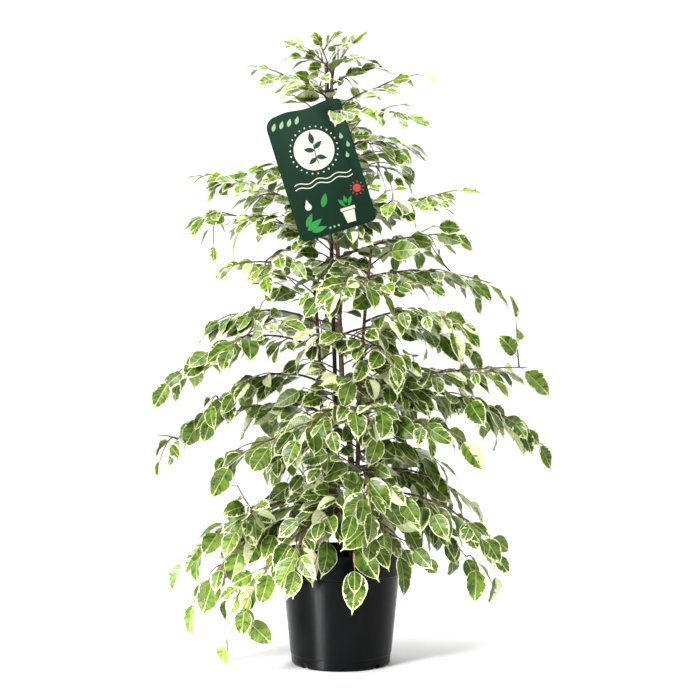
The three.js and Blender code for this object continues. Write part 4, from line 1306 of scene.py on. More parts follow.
# %% Rules for the leaves
LEAF = {"longest": 65, "shortest": 44, "petiole": 12, "variants": 14, "shrink": 0.025, "paired_to": 0.93,
        "last_at": 0.97, "low": 150, "high": 1040, "found_over": 3}
POSE = {"droop": (0.85, 0.2), "drawn_droop": (0.3, 1.1), "ahead": (0.65, 0.5), "aside": (0.45, 0.5),
        "face_up": 0.6, "face_side": 0.4, "face_out": 0.35, "face_light": 0.55, "twist": 1.5,
        "size": (0.76, 0.34), "bend": (0.15, 0.8)}
BLADE_CORNERS = [(0.27, 0.28, 0.05), (0.62, 0.235, 0.008), (0.86, 0.04, 0)]  # share, half width, lift


def leaf_sites(line, count, first, number):
    sites = []
    for i in range(count):
        last = i == count - 1
        share = LEAF["last_at"] if last else lerp(first, LEAF["paired_to"], i / max(count - 1, 1))
        ahead = direction_along(line, share)
        side = unit(np.cross(ahead, UP))
        sites.append({"foot": point_along(line, share), "ahead": ahead, "side": side, "share": share,
                      "lobe": 0 if last else 1 if (i + number) % 2 else -1, "line": line})
    return sites


def branch_sites(branch):
    line = branch["line"]
    if branch["tag"]:
        return leaf_sites(line, TAG_TWIG["leaves"], TAG_TWIG["first_leaf"], 1)
    young = clamp01((line[0][2] - BRANCH["young_from"]) / (LEAF["high"] - BRANCH["young_from"]))
    step = branch["leaf_step"] * lerp(1, BRANCH["young_step"], young)
    count = max(3, math.floor(length_of(line) * (1 - branch["first_leaf"]) / step + 0.5))
    sites = leaf_sites(line, count, branch["first_leaf"], branch["number"])
    for i, shoot in enumerate(branch["shoots"]):
        sites += leaf_sites(shoot, SHOOT["leaves"], SHOOT["first_leaf"], i)
    return sites


def leaf_pose(site, random, droop_share=1):
    height = clamp01((site["foot"][2] - LEAF["low"]) / (LEAF["high"] - LEAF["low"]))
    a, b, c, d, e = (random() for _ in range(5))
    drawn = lambda pair, draw: pair[0] + pair[1] * draw
    outward = unit(np.array([site["foot"][0], site["foot"][1], 0]))
    droop = lerp(*POSE["droop"], height) * drawn(POSE["drawn_droop"], a) * droop_share
    side, lobe = site["side"], site["lobe"]
    direction = unit(site["ahead"] * (drawn(POSE["ahead"], b) if lobe else 1)
                     + side * lobe * drawn(POSE["aside"], c) - UP * droop)
    face = UP * POSE["face_up"] + side * POSE["face_side"] * lobe + outward * POSE["face_out"]
    face = face + LIGHT * POSE["face_light"]
    face = unit(face - direction * face.dot(direction))
    turn = (d - 0.5) * POSE["twist"]
    face = face * math.cos(turn) + np.cross(direction, face) * math.sin(turn)
    full = lerp(LEAF["longest"], LEAF["shortest"], height * height)
    return {"site": site, "direction": direction, "face": face, "across": np.cross(face, direction),
            "length": full * drawn(POSE["size"], e), "bend": drawn(POSE["bend"], b),
            "base": site["foot"] + direction * LEAF["petiole"]}


def leaf_frame(pose, shares):
    """Points on the bent midrib at some shares of its length, and the blade's normals there."""
    t = np.asarray(shares, float)[:, None]
    direction, face = pose["direction"], pose["face"]
    end = direction * math.cos(pose["bend"]) - face * math.sin(pose["bend"])
    middle = pose["base"] + pose["length"] * (direction * (t - t * t / 2) + end * t * t / 2)
    ahead = direction * (1 - t) + end * t
    ahead /= np.linalg.norm(ahead, axis=1)[:, None]
    return middle, np.cross(ahead, pose["across"])


def pose_corners(pose):
    middle, normal = leaf_frame(pose, [at for at, _, _ in BLADE_CORNERS] + [1])
    out = [middle[3]]
    for i, (_, half, lift) in enumerate(BLADE_CORNERS):
        for k in (1, -1):
            out.append(middle[i] + (pose["across"] * k * half + normal[i] * lift) * pose["length"])
    return out


def find_leaf(site, seed, tree):
    random = draws(seed)
    best = None
    for k in range(LEAF["variants"]):
        pose = leaf_pose(site, random)
        pose["length"] *= 1 - LEAF["shrink"] * k
        score = matches(tree, pose_corners(pose))
        if score > (best["score"] if best else LEAF["found_over"]):
            best = {**pose, "score": score}
    return best


for branch in branches:
    found = [find_leaf(site, 1000 * (branch["number"] + 1) + i, branch["tree"])
             for i, site in enumerate(branch_sites(branch))]
    branch["leaves"] = [leaf for leaf in found if leaf]
print("leaves found:", sum(len(b["leaves"]) for b in branches))

# %% [markdown]
# ## The shape of one leaf
# A weeping fig's leaf is a rounded oval that narrows all at once into a slim drip tip, which sheds
# rain. Its half width along the midrib is a smooth blend of two such curves. The edges lift a
# little, as a shallow V, and ripple. The midrib lies in a groove. Each leaf is a closed sheet about
# 0.4 mm thick. Three vectors are stored on each of its points for the material. The first holds the
# place on the blade in millimetres and a seed. The second holds the distance to the edge, the share
# of the length and the distance to the midrib. The third holds the side and two random numbers.

# %% Leaf outline and surface
BLADE = {"thick": 0.42, "ripple": 0.02, "ripples": 2.6, "groove": 0.35, "nick": 0.05, "fold": (0.5, 1.7)}
STATIONS = np.array([0, 0.02, 0.06, 0.12, 0.19, 0.27, 0.36, 0.45, 0.54, 0.62, 0.7, 0.77, 0.83, 0.88, 0.92,
                     0.96, 1])
ACROSS = np.array([-1, -0.72, -0.34, 0, 0.34, 0.72, 1])
LIFTS = ([0, 0.1, 0.27, 0.45, 0.62, 0.8, 1], [0, 0.026, 0.05, 0.038, 0.014, 0.002, 0])


def half_width(t):
    """Half the blade's width as a share of its length."""
    t = np.asarray(t, float)
    body = 0.288 / 0.3924 * t**0.52 * np.clip(1 - t / 0.89, 0, 1) ** 0.78
    drip = 0.032 * np.minimum(1, (1 - t) / 0.2) ** 0.6
    return np.maximum((body**3 + drip**3) ** (1 / 3), 0.004)


def grid_faces(rows, columns):
    """Faces of a closed sheet whose top points are row by row and whose bottom points follow."""
    top = lambda i, j: i * columns + j
    low = lambda i, j: rows * columns + i * columns + j
    faces, last = [], columns - 1
    for i in range(rows - 1):
        for j in range(last):
            faces.append((top(i, j), top(i, j + 1), top(i + 1, j + 1), top(i + 1, j)))
            faces.append((low(i, j), low(i + 1, j), low(i + 1, j + 1), low(i, j + 1)))
        faces.append((top(i, 0), top(i + 1, 0), low(i + 1, 0), low(i, 0)))
        faces.append((top(i, last), low(i, last), low(i + 1, last), top(i + 1, last)))
    for j in range(last):
        faces.append((top(0, j), low(0, j), low(0, j + 1), top(0, j + 1)))
        faces.append((top(rows - 1, j), top(rows - 1, j + 1), low(rows - 1, j + 1), low(rows - 1, j)))
    return faces


BLADE_FACES = grid_faces(len(STATIONS), len(ACROSS))
FEWER_STATIONS = STATIONS[[0, 2, 3, 5, 6, 8, 10, 11, 12, 13, 14, 16]]
FEWER_ACROSS = ACROSS[[0, 1, 3, 5, 6]]
FEWER_FACES = grid_faces(len(FEWER_STATIONS), len(FEWER_ACROSS))
FULL_GRID = (STATIONS, ACROSS, BLADE_FACES)
PLAIN_GRID = (FEWER_STATIONS, FEWER_ACROSS, FEWER_FACES)
VECTORS = ("leaf_place", "leaf_rim", "leaf_kind", "wood_row")
TOP_SIDE, UNDERSIDE, STALK_SIDE = 0, 1, 2
FAR = 9.0  # mm, a distance at which neither the edge nor the midrib shows


def blade_points(pose, stations, across, thick, wider=0.0, random=None):
    """Top and bottom points of a blade, with its place rows. Random draws add ripples and nicks."""
    length = pose["length"]
    middle, normal = leaf_frame(pose, stations)
    half = half_width(stations) * length + wider
    sides = np.repeat(half[:, None], len(across), 1)
    lift = np.interp(stations, *LIFTS)[:, None] * np.abs(across)[None, :] ** 1.3 * length
    if random is not None:
        lift *= lerp(*BLADE["fold"], random())
        phase, other = 6.3 * random(), 6.3 * random()
        for k, start in ((0, phase), (1, other)):
            sign = -1 if k == 0 else 1
            nicks = np.array([max(0, random() - 0.7) for _ in stations]) / 0.3 * BLADE["nick"]
            columns = np.sign(across) == sign
            sides[:, columns] *= (1 - nicks)[:, None]
            wave = np.sin(2 * math.pi * BLADE["ripples"] * stations + start) * np.sin(math.pi * stations)
            lift[:, columns] += BLADE["ripple"] * length * wave[:, None] * np.abs(across[columns]) ** 2
        lift[:, across == 0] -= BLADE["groove"] * np.sin(math.pi * np.clip(stations * 1.1, 0, 1))[:, None]
    x = sides * across[None, :]
    surface = middle[:, None] + x[..., None] * pose["across"] + lift[..., None] * normal[:, None]
    shift = normal[:, None] * thick / 2
    points = np.vstack([(surface + shift).reshape(-1, 3), (surface - shift).reshape(-1, 3)])
    place = np.stack([x, np.repeat((stations * length)[:, None], len(across), 1)], -1).reshape(-1, 2)
    rim = ((1 - np.abs(across))[None, :] * sides).ravel()
    return points, place, rim


def leaf_rows(place, rim, share, side, mine, seed):
    """The three vectors that the leaf material reads, and an empty one for the wood."""
    count = len(place)
    return np.column_stack([
        place, np.full(count, seed), rim, share, np.abs(place[:, 0]),
        np.full((count, 3), (side, *mine)), np.zeros((count, 3))])


def add_blade(shell, pose, random, fine=True):
    stations, across, faces = FULL_GRID if fine else PLAIN_GRID
    points, place, rim = blade_points(pose, stations, across, BLADE["thick"], random=random)
    points = inside_box(pose, points)
    mine = (random(), random())
    share = np.repeat(stations, len(across))
    seed = 40 * mine[1] + 7 * mine[0]
    rows = [leaf_rows(place, rim, share, side, mine, seed) for side in (TOP_SIDE, UNDERSIDE)]
    shell.add(points, faces, 1, np.vstack(rows))
    return mine


def inside_box(pose, points):
    """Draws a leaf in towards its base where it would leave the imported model's box."""
    low, high = (np.array(corner) / MM for corner in cad_box)
    while np.any(points < low + 0.2) or np.any(points > high - 0.2):
        points = pose["base"] + (points - pose["base"]) * 0.97
    return points


widest = float(STATIONS[half_width(STATIONS).argmax()])
print("a blade has", len(BLADE_FACES), "faces; it is widest at", round(widest, 2))

# %% [markdown]
# Variegation follows the veins, because each pale streak grew from a few cells that lacked green.
# So the material works in the leaf's own millimetres: noise stretched along the side veins makes
# dark, middle and greyish greens, and a second noise decides how far in the cream margin reaches.
# Thin leaves also let light through, so a part of the light goes through a translucent shader.

# %% Leaf material
def leaf_material():
    r = Recipe("fig_leaf")
    from_middle, from_base, leaf_seed = r.stored("leaf_place")
    rim, share, from_rib = r.stored("leaf_rim")
    side, one, two = r.stored("leaf_kind")
    along_vein = r.math("SUBTRACT", from_base, r.math("MULTIPLY", from_rib, 0.62))
    own_half = r.math("MULTIPLY", r.math("SIGN", from_middle), 37.0)
    seed = r.math("ADD", leaf_seed, own_half)

    def along(across_scale, vein_scale, offset):
        return r.add("CombineXYZ", {"X": r.math("MULTIPLY", along_vein, across_scale),
                                    "Y": r.math("MULTIPLY", from_rib, vein_scale),
                                    "Z": r.math("ADD", seed, offset)}).outputs[0]

    # Painted shade: leaves near the stems' axis are darkened, as the inside of the crown lies in shade.
    # Leaves low down are darker and high up lighter, partly as older and younger leaves are and partly as
    # painted light on the top of the crown.
    body = r.add("SeparateXYZ", {"Vector": r.place()}).outputs
    squares = [r.math("MULTIPLY", body[axis], body[axis]) for axis in ("X", "Y")]
    from_axis = r.math("SQRT", r.math("ADD", *squares))
    outer = r.steps(from_axis, 0.02, 0.17, 0.62, 1.0)
    age_and_painted_shade = r.math("MULTIPLY", outer, r.steps(body["Z"], 0.15, 0.95, 0.84, 1.34))
    patches = r.noise(along(0.14, 0.05, 0.0), 1.0, 2, 0.5)
    streaks = r.noise(along(0.7, 0.1, 11.0), 1.0, 3, 0.6)
    jag = r.noise(along(0.42, 0.16, 23.0), 1.0, 3, 0.62)
    lobes = r.noise(along(0.15, 0.09, 57.0), 1.0, 2, 0.5)
    veins = r.math("SINE", r.math("MULTIPLY", along_vein, 2.3))
    vein = r.steps(veins, 0.8, 1.0)
    green = r.mix(r.steps(patches, 0.36, 0.62), srgb(46, 78, 18), srgb(104, 134, 40))
    green = r.mix(r.math("MULTIPLY", r.steps(streaks, 0.55, 0.68), 0.75), green, srgb(146, 164, 88))
    green = r.mix(r.math("MULTIPLY", vein, 0.2), green, srgb(146, 172, 98))
    tone = r.mix(two, (0.66, 0.72, 0.62), (1.18, 1.12, 1.05))
    green = r.add("MixRGB", {"Fac": 1.0, "Color1": green, "Color2": tone}, blend_type="MULTIPLY").outputs[0]
    # The greens are scaled by that mix of leaf age and painted shade.
    green = r.add("VectorMath", {0: green, "Scale": age_and_painted_shade}, operation="SCALE").outputs[0]
    cream = r.mix(r.steps(streaks, 0.35, 0.7), srgb(218, 222, 164), srgb(236, 238, 204))
    half_draw = r.add("TexWhiteNoise", {"W": seed}, noise_dimensions="1D").outputs["Value"]
    pale_half = r.math("MAXIMUM", r.math("GREATER_THAN", half_draw, 0.93), r.math("GREATER_THAN", one, 0.96))
    reach = r.math("ADD", r.steps(jag, 0.35, 0.75, 0.6, 3.0), r.steps(lobes, 0.56, 0.72, 0.0, 5.0))
    reach = r.math("MULTIPLY", reach, r.steps(one, 0.0, 1.0, 0.4, 1.6))
    reach = r.math("MULTIPLY", reach, r.steps(body["Z"], 0.1, 0.7, 0.75, 1.15))
    reach = r.math("ADD", reach, r.math("MULTIPLY", pale_half, r.steps(patches, 0.4, 0.55, 30.0, 9.0)))
    reach = r.math("ADD", reach, r.steps(share, 0.62, 0.95, 0.0, 1.6))
    margin = r.steps(r.math("SUBTRACT", rim, reach), -0.35, 0.35, 1.0, 0.0)
    wedge_width = r.math("MULTIPLY", r.steps(share, 0.45, 0.9, 0.0, 2.4), r.steps(jag, 0.42, 0.62))
    wedge = r.steps(r.math("SUBTRACT", from_rib, wedge_width), -0.3, 0.3, 1.0, 0.0)
    wedge = r.math("MULTIPLY", wedge, r.steps(share, 0.45, 0.5))
    pale = r.math("MAXIMUM", margin, wedge)
    colour = r.mix(pale, green, cream)
    rib = r.steps(from_rib, 0.35, 0.9, 1.0, 0.0)
    colour = r.mix(r.math("MULTIPLY", rib, 0.75), colour, srgb(176, 194, 116))
    is_under = r.math("MULTIPLY", r.math("GREATER_THAN", side, 0.5), r.math("LESS_THAN", side, 1.5))
    colour = r.mix(r.math("MULTIPLY", is_under, 0.38), colour, srgb(150, 178, 118))
    is_stalk = r.math("GREATER_THAN", side, 1.5)
    stalk_colour = r.mix(two, srgb(128, 104, 74), srgb(140, 146, 82))
    colour = r.mix(is_stalk, colour, stalk_colour)
    relief = r.math("SUBTRACT", r.math("MULTIPLY", vein, -0.6), r.math("MULTIPLY", rib, 0.8))
    relief = r.math("ADD", relief, r.math("MULTIPLY", streaks, 0.4))
    bump = r.add("Bump", {"Height": relief, "Strength": 0.22, "Distance": 0.0005}).outputs[0]
    rough = r.math("ADD", r.math("MULTIPLY", is_under, 0.22), r.steps(streaks, 0.3, 0.7, 0.27, 0.37))
    surface = r.add("BsdfPrincipled", {
        "Base Color": colour, "Roughness": rough, "Normal": bump, "Specular IOR Level": 0.32})
    glow = r.add("MixRGB", {"Fac": 1.0, "Color1": colour, "Color2": (1.0, 1.12, 0.6)}, blend_type="MULTIPLY")
    through = r.add("BsdfTranslucent", {"Color": glow.outputs[0]})
    mixed = r.add("MixShader", {"Fac": 0.16})
    r.tree.links.new(surface.outputs[0], mixed.inputs[1])
    r.tree.links.new(through.outputs[0], mixed.inputs[2])
    return r.finish(mixed)


FIG_LEAF = leaf_material()
print("made", FIG_LEAF.name)

# %% [markdown]
# A twig is the same arch as before with more points, so it bends smoothly. It thickens a little at
# each node where a leaf sits, and ends in the pointed bud that every fig twig has. A leaf stalk
# leaves the twig at an angle, curves over and runs into the midrib.

# %% Twigs and leaf stalks
TWIG = {"branch": (2.15, 0.95), "inner": (1.5, 0.85), "shoot": (1.35, 0.8), "steps": 30, "sides": 8,
        "bud": 5.5, "node": 0.16, "node_length": 0.012}
STALK = {"foot": 0.85, "tip": 0.55, "steps": 6, "sides": 5, "into": 2.2, "under": 0.15,
         "test": 1.1, "placed": 0.7}


def twig_line(branch):
    line = branch["line"]
    if branch["tag"]:
        return smooth_line(line, 8)
    return arch(line[0], line[-1], branch["rise"], TWIG["steps"])


def add_twig(shell, line, foot, tip, node_shares):
    share = np.linspace(0, 1, len(line))
    swell = sum(np.exp(-(((share - s) / TWIG["node_length"]) ** 2)) for s in node_shares)
    radii = lerp(foot, tip, share**0.8) * (1 + TWIG["node"] * np.clip(swell, 0, 1))
    points, faces = tube(line, radii, TWIG["sides"])
    points[-1] = line[-1] + unit(line[-1] - line[-2]) * TWIG["bud"]
    along = np.append(np.repeat(lengths_along(line), TWIG["sides"]), [0, length_of(line)])
    age = np.append(np.repeat(lerp(0.6, 0.0, share), TWIG["sides"]), [0.6, 0])
    rows = np.zeros((len(points), 3 * len(VECTORS)))
    rows[:, 9], rows[:, 10] = along, age
    shell.add(points, faces, 0, rows)


def stalk_line(pose, foot):
    """From the middle of the twig over to the blade, as a bent line."""
    site = pose["site"]
    end = pose["base"] + pose["direction"] * STALK["into"] - pose["face"] * STALK["under"]
    gap = np.linalg.norm(end - foot)
    middle = foot + (site["ahead"] * 0.35 + site["side"] * site["lobe"] * 0.55 + UP * 0.2) * gap * 0.45
    middle = lerp(middle, lerp(foot, end, 0.5), 0.35)
    t = np.linspace(0, 1, STALK["steps"])[:, None]
    return (1 - t) ** 2 * foot + 2 * t * (1 - t) * middle + t**2 * end


def add_stalk(shell, pose, foot, mine):
    line = stalk_line(pose, foot)
    radii = np.linspace(STALK["foot"], STALK["tip"], len(line))
    points, faces = tube(line, radii, STALK["sides"])
    count = len(points)
    rows = leaf_rows(np.zeros((count, 2)), np.full(count, FAR), np.zeros(count), STALK_SIDE, mine, 0)
    rows[:, 5] = FAR
    shell.add(points, faces, 1, rows)


print("a twig has", TWIG["steps"] * TWIG["sides"], "faces")

# %% [markdown]
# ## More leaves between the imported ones
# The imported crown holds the 360 leaves that give it its form. The plant has about a thousand more,
# most of them somewhat smaller. Reaching twigs first fill the thin spots of the crown. Short twigs
# along the stems then close its middle, and each branch gets leaves between the others and on short
# extra shoots. A try counts only if its leaf keeps clear of everything that is there. Blender's BVH
# trees find out quickly whether two surfaces cut each other. A list of boxes leaves out all that is
# far away.

# %% Keep clear of what is there
class Space:
    """Solids that are already placed, and a test whether a new one keeps clear of them."""

    def __init__(self):
        self.low, self.high, self.trees, self.owners = [], [], [], []

    def add(self, points, faces, owner):
        self.low.append(points.min(0))
        self.high.append(points.max(0))
        self.trees.append(BVHTree.FromPolygons(points.tolist(), faces))
        self.owners.append(owner)

    def free(self, points, faces, skip=None):
        low, high = points.min(0), points.max(0)
        near = np.all((np.array(self.low) < high) & (np.array(self.high) > low), axis=1).nonzero()[0]
        mine = BVHTree.FromPolygons(points.tolist(), faces)
        return not any(self.owners[i] != skip and mine.overlap(self.trees[i]) for i in near)


COARSE_STATIONS = np.array([0, 0.12, 0.3, 0.5, 0.7, 0.85, 1])
COARSE_ACROSS = np.array([-1, 0, 1.0])
COARSE_FACES = grid_faces(len(COARSE_STATIONS), len(COARSE_ACROSS))
CLEAR = {"floor": 12, "pot": 3, "band": 4, "peat": 5, "mouth": 88, "tag": 4, "tag_back": 3, "leaf": 1.5,
         "stake": 4.2, "card": 1.2}
FIXED_RADII = {MAIN: 6.4, LEFT: 5.0, RIGHT: 5.0}
WOOD = {"branch": (2.4, 1.4), "test": (2, 1.4), "placed": (1.6, 1.1), "sides": 5}


def wood_tube(line, kind, skipped=0):
    """A plain tube for the tests, along a line past its first points, which stand in other wood."""
    return tube(line[skipped:], np.linspace(*WOOD[kind], len(line) - skipped), WOOD["sides"])


def test_blade(pose, grow):
    points, _, _ = blade_points(pose, COARSE_STATIONS, COARSE_ACROSS, 0.4 + 2 * grow, wider=grow * 0.6)
    return points, COARSE_FACES


def in_free_air(points):
    """True where all points keep off the floor, the pot, the tag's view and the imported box's edge."""
    low, high = (np.array(corner) / MM for corner in cad_box)
    if np.any(points < low + 1) or np.any(points > high - 1) or points[:, 2].min() < CLEAR["floor"]:
        return False
    radius, z = np.hypot(points[:, 0], points[:, 1]), points[:, 2]
    band = (z > SHOULDER - CLEAR["band"]) & (radius < POT["rim"] + CLEAR["pot"])
    near = (z < POT["height"] + CLEAR["pot"]) & (band | (radius < POT["body_top"] + CLEAR["pot"]))
    inside = (z > PEAT["top"] + CLEAR["peat"]) & (radius < CLEAR["mouth"])
    if np.any(near & ~inside):
        return False
    x, y, z = (points - np.array(TAG["hole"])).T
    flat_x, flat_z = x * math.cos(LEAN) + z * math.sin(LEAN), z * math.cos(LEAN) - x * math.sin(LEAN)
    beside = (flat_x < -TAG["left"] - CLEAR["tag"]) | (flat_x > TAG["right"] + CLEAR["tag"])
    beyond = (flat_z < -TAG["below"] - CLEAR["tag"]) | (flat_z > TAG["above"] + CLEAR["tag"])
    return bool(np.all(beside | beyond | (y > CLEAR["tag_back"])))


def fill_space():
    space = Space()
    for stem, line in enumerate(STEM_LINES):
        space.add(*tube(line, [FIXED_RADII[stem]] * len(line), 8), f"stem_{stem}")
    space.add(*tube(stake_line, [CLEAR["stake"]] * len(stake_line), 8), "stake")
    card, card_faces = slab([(outline, -CLEAR["card"]), (outline, CLEAR["card"])])
    space.add(tag_to_world(card), card_faces, "tag")
    tie = np.array([v.co for v in tie_piece.data.vertices]) / MM
    space.add(tie, [tuple(p.vertices) for p in tie_piece.data.polygons], "tie")
    for branch in branches:
        branch["fine"] = twig_line(branch)
        branch["fine_shoots"] = [smooth_line(shoot, 7) for shoot in branch["shoots"]]
        for line in [branch["fine"], *branch["fine_shoots"]]:
            space.add(*wood_tube(line, "branch"), branch["name"] + "_wood")
        for leaf in branch["leaves"]:
            space.add(*test_blade(leaf, 0), branch["name"])
    return space


space = fill_space()
print("placed solids:", len(space.trees))

# %% Extra shoots and leaves
EXTRA = {"tries": 9, "size": (0.62, 0.34), "shoot_shares": (0.16, 0.31, 0.47, 0.63, 0.79),
         "all_shoots_over": 120, "shoot": (30, 42), "shoot_leaves": 3, "leaf_step": 21, "first_leaf": 0.12,
         "first_on_shoot": 0.4, "first_on_twig": 0.3, "droops": (1, 0.25), "seed": 500000}
INNER = {"low": 196, "high": 900, "step": 12, "stagger": 9, "below_top": 15, "spread": 100,
         "length": (34, 112), "rise": 0.35, "steps": 12, "leaves": 4, "seed": 900000}


def foot_on(line, site):
    """The point of the fine twig's middle line where a site's leaf stalk starts."""
    place = site["share"] * (len(line) - 1)
    i = min(int(place), len(line) - 2)
    return lerp(line[i], line[i + 1], place - i)


def try_leaf(site, seed, fine, owner, droop_share=1):
    random = draws(seed)
    for _ in range(EXTRA["tries"]):
        pose = leaf_pose(site, random, droop_share)
        pose["length"] *= lerp(EXTRA["size"][0], sum(EXTRA["size"]), random())
        points, faces = test_blade(pose, CLEAR["leaf"] / 2)
        if not in_free_air(points) or not space.free(points, faces):
            continue
        stalk = stalk_line(pose, foot_on(fine, site))[2:]
        stalk_points, stalk_faces = tube(stalk, [STALK["test"]] * len(stalk), 4)
        if not in_free_air(stalk_points) or not space.free(stalk_points, stalk_faces, skip=owner + "_wood"):
            continue
        space.add(*test_blade(pose, 0), owner)
        space.add(*tube(stalk, [STALK["placed"]] * len(stalk), 4), owner)
        return pose
    return None


def extra_shoot(line, share, sign, random, owner):
    foot, ahead = foot_on(line, {"share": share}), direction_along(line, share)
    side = unit(np.cross(ahead, UP)) * sign
    length = EXTRA["shoot"][0] + EXTRA["shoot"][1] * random()
    way = unit(ahead * (0.5 + 0.4 * random()) + side * 0.8 + UP * (0.5 * random() - 0.3))
    end = foot + way * length - UP * length * 0.15
    shoot = smooth_line([foot, lerp(foot, end, 0.5) + UP * length * 0.08, end], 5)
    points, faces = wood_tube(shoot, "test", 2)
    if not in_free_air(points) or not space.free(points, faces):
        return None
    space.add(*wood_tube(shoot, "placed"), owner + "_wood")
    return shoot


def leafy_twig(kind, number, twig, leaves, seed):
    """Places a twig's wood and gives it with the leaves that find free air beside it."""
    owner = f"{kind}_{number}"
    space.add(*wood_tube(twig, "placed"), owner + "_wood")
    sites = leaf_sites(twig, leaves, EXTRA["first_on_twig"], number)
    poses = [try_leaf(site, seed + 100 * number + i, twig, owner) for i, site in enumerate(sites)]
    return {"fine": twig, "extra": [(pose, twig) for pose in poses if pose]}


def leaves_on(pieces):
    return sum(len(piece["extra"]) for piece in pieces)


def grow_more(branch):
    owner, seed = branch["name"], EXTRA["seed"] + 1000 * branch["number"]
    random = draws(seed)
    branch["extra"], branch["extra_shoots"] = [], []
    if branch["tag"]:
        return
    long = length_of(branch["line"]) > EXTRA["all_shoots_over"]
    for k, share in enumerate(EXTRA["shoot_shares"] if long else EXTRA["shoot_shares"][1:3]):
        sign = 1 if (k + branch["number"]) % 2 else -1
        for way in (sign, -sign):
            shoot = extra_shoot(branch["fine"], share + 0.05 * (random() - 0.5), way, random, owner)
            if shoot is not None:
                branch["extra_shoots"].append(shoot)
                break
    rows = [(line, max(2, round(length_of(line) / EXTRA["leaf_step"])), EXTRA["first_leaf"])
            for line in [branch["fine"], *branch["fine_shoots"]]]
    rows += [(shoot, EXTRA["shoot_leaves"], EXTRA["first_on_shoot"]) for shoot in branch["extra_shoots"]]
    for line, count, first in rows:
        for i, site in enumerate(leaf_sites(line, count, first, branch["number"] + 1)):
            seed += 1
            pose = try_leaf(site, seed, line, owner, EXTRA["droops"][i % 2])
            if pose:
                branch["extra"].append((pose, line))


def grow_inner():
    """Short leafy twigs along the stems, which close the middle of the crown."""
    random, twigs = draws(INNER["seed"]), []
    for stem, line in enumerate(STEM_LINES):
        z = INNER["low"] + INNER["stagger"] * stem
        while z < min(INNER["high"], line[-1][2] - INNER["below_top"]):
            start = point_at_height(line, z)
            turn = math.radians(-90 + INNER["spread"] * (2 * random() - 1))
            length = lerp(*INNER["length"], random())
            way = np.array([math.cos(turn), math.sin(turn), 0.15 + 0.5 * random()])
            z += INNER["step"] * (0.7 + 0.6 * random())
            twig = arch(start, start + way * length, length * INNER["rise"], INNER["steps"])
            points, faces = wood_tube(twig, "test", 2)
            if in_free_air(points) and space.free(points, faces, skip=f"stem_{stem}"):
                twigs.append(leafy_twig("inner", len(twigs), twig, INNER["leaves"], INNER["seed"]))
    return twigs


REACH_TIPS = [
    (-84, -20, 1037), (14, 8, 1046), (-38, -30, 1032), (-14, -40, 1034), (-150, -10, 992), (128, 20, 985),
    (-306, 20, 372), (-296, -20, 340), (236, 20, 124), (252, -30, 150), (-176, -110, 30), (-122, -70, 62),
    (118, -60, 500), (150, -90, 470), (-128, -60, 590), (-96, -90, 560), (-168, -40, 292), (-142, -70, 262),
    (-30, -110, 540), (20, -120, 470), (60, -110, 380), (-10, -130, 350), (30, -120, 300), (150, 30, 700),
    (-80, -90, 660), (66, -90, 610), (-212, -30, 430), (262, 60, 420), (290, -20, 560), (-216, 20, 700),
]
REACH = {"rises": (0.25, 0.05, 0.5), "shortest": 28, "longest": 190, "starts": 6, "every": 8, "steps": 12,
         "leaf_every": 22, "seed": 700000}


def grow_reaching():
    """Leafy twigs from the nearest wood to listed tips, where the crown has a thin spot."""
    lines = STEM_LINES + [line for b in branches for line in [b["fine"], *b["fine_shoots"]]]
    wood = np.vstack([line[2:] for line in lines])
    twigs = []
    for number, tip in enumerate(REACH_TIPS):
        away = np.linalg.norm(wood - tip, axis=1)
        order = [i for i in np.argsort(away) if away[i] > REACH["shortest"]]
        order = order[: REACH["every"] * REACH["starts"] : REACH["every"]]
        twig = first_free_twig([wood[i] for i in order if away[i] < REACH["longest"]], np.array(tip, float))
        if twig is not None:
            leaves = max(3, round(length_of(twig) / REACH["leaf_every"]))
            twigs.append(leafy_twig("reaching", number, twig, leaves, REACH["seed"]))
    return twigs


def first_free_twig(starts, tip):
    for start in starts:
        for rise in REACH["rises"]:
            twig = arch(start, tip, np.linalg.norm(tip - start) * rise, REACH["steps"])
            points, faces = wood_tube(twig, "test", 3)
            if in_free_air(points) and space.free(points, faces):
                return twig
    return None


reaching = grow_reaching()
print("reaching twigs:", len(reaching), "with", leaves_on(reaching), "leaves")
inner = reaching + grow_inner()
for branch in branches:
    grow_more(branch)
print("inner twigs:", len(inner), "with", leaves_on(inner), "leaves")
print("extra leaves:", leaves_on(branches), "extra shoots:", sum(len(b["extra_shoots"]) for b in branches))

# %% [markdown]
# ## Leafy branches
# Each branch becomes one piece with two materials: bark for its wood and leaf for its blades and
# stalks. The vectors that the materials read go onto its points.

# %% Build the branches
INNER_PIECES = 3
BLADE_SEEDS = {"branch": 7000, "inner": 9000}


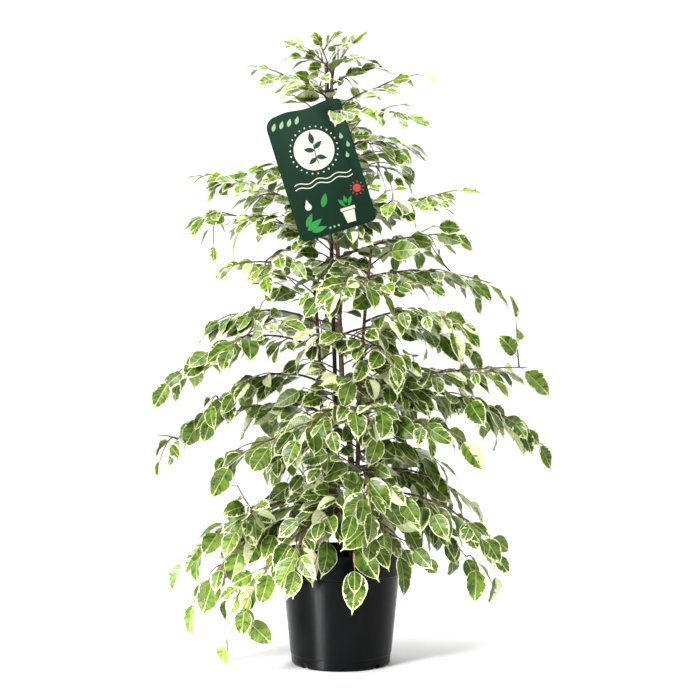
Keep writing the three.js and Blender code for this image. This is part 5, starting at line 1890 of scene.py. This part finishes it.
def fine_line_of(branch, leaf):
    """The fine twig or shoot that a packed leaf's site lies on."""
    coarse = leaf["site"]["line"]
    if coarse is branch["line"]:
        return branch["fine"]
    return branch["fine_shoots"][next(i for i, s in enumerate(branch["shoots"]) if s is coarse)]


def finish_crown_piece(name, shell, *replaced):
    rows = np.vstack(shell.rows)
    mesh = new_mesh(name, np.vstack(shell.points), shell.faces, [BARK, FIG_LEAF], shell.kinds)
    sharpen(mesh, 60)
    for k, vector in enumerate(VECTORS):
        set_vectors(mesh, vector, rows[:, 3 * k : 3 * k + 3])
    return add_piece(name, mesh, "fig_leaf", *replaced)


def leafy_branch(branch):
    shell = Shell()
    leaves = [(leaf, fine_line_of(branch, leaf)) for leaf in branch["leaves"]] + branch["extra"]
    main_shares = [pose["site"]["share"] for pose, line in leaves if line is branch["fine"]]
    add_twig(shell, branch["fine"], *TWIG["branch"], main_shares)
    for shoot in branch["fine_shoots"] + branch["extra_shoots"]:
        add_twig(shell, shoot, *TWIG["shoot"], [])
    for i, (pose, line) in enumerate(leaves):
        random = draws(BLADE_SEEDS["branch"] + 100 * branch["number"] + i)
        mine = add_blade(shell, pose, random, fine=i < len(branch["leaves"]))
        add_stalk(shell, pose, foot_on(line, pose["site"]), mine)
    return finish_crown_piece("leafy_" + branch["name"], shell, branch["name"])


def inner_piece(name, twigs):
    shell = Shell()
    for number, twig in enumerate(twigs):
        shares = [pose["site"]["share"] for pose, _ in twig["extra"]]
        add_twig(shell, twig["fine"], *TWIG["inner"], shares)
        for i, (pose, line) in enumerate(twig["extra"]):
            mine = add_blade(shell, pose, draws(BLADE_SEEDS["inner"] + 100 * number + i), fine=False)
            add_stalk(shell, pose, foot_on(line, pose["site"]), mine)
    finish_crown_piece(name, shell)


for branch in branches:
    leafy_branch(branch)
for k in range(INNER_PIECES):
    inner_piece(f"inner_twigs_{k + 1}", inner[k::INNER_PIECES])
packed = sum(len(branch["leaves"]) for branch in branches)
print("leaves in all:", packed + leaves_on(branches) + leaves_on(inner))

# %% [markdown]
# ## The imported box
# The finer pieces must fill the same box as the imported model. The imported box is written down.

# %% The imported box
print("before", [[round(v, 4) for v in corner] for corner in cad_box])
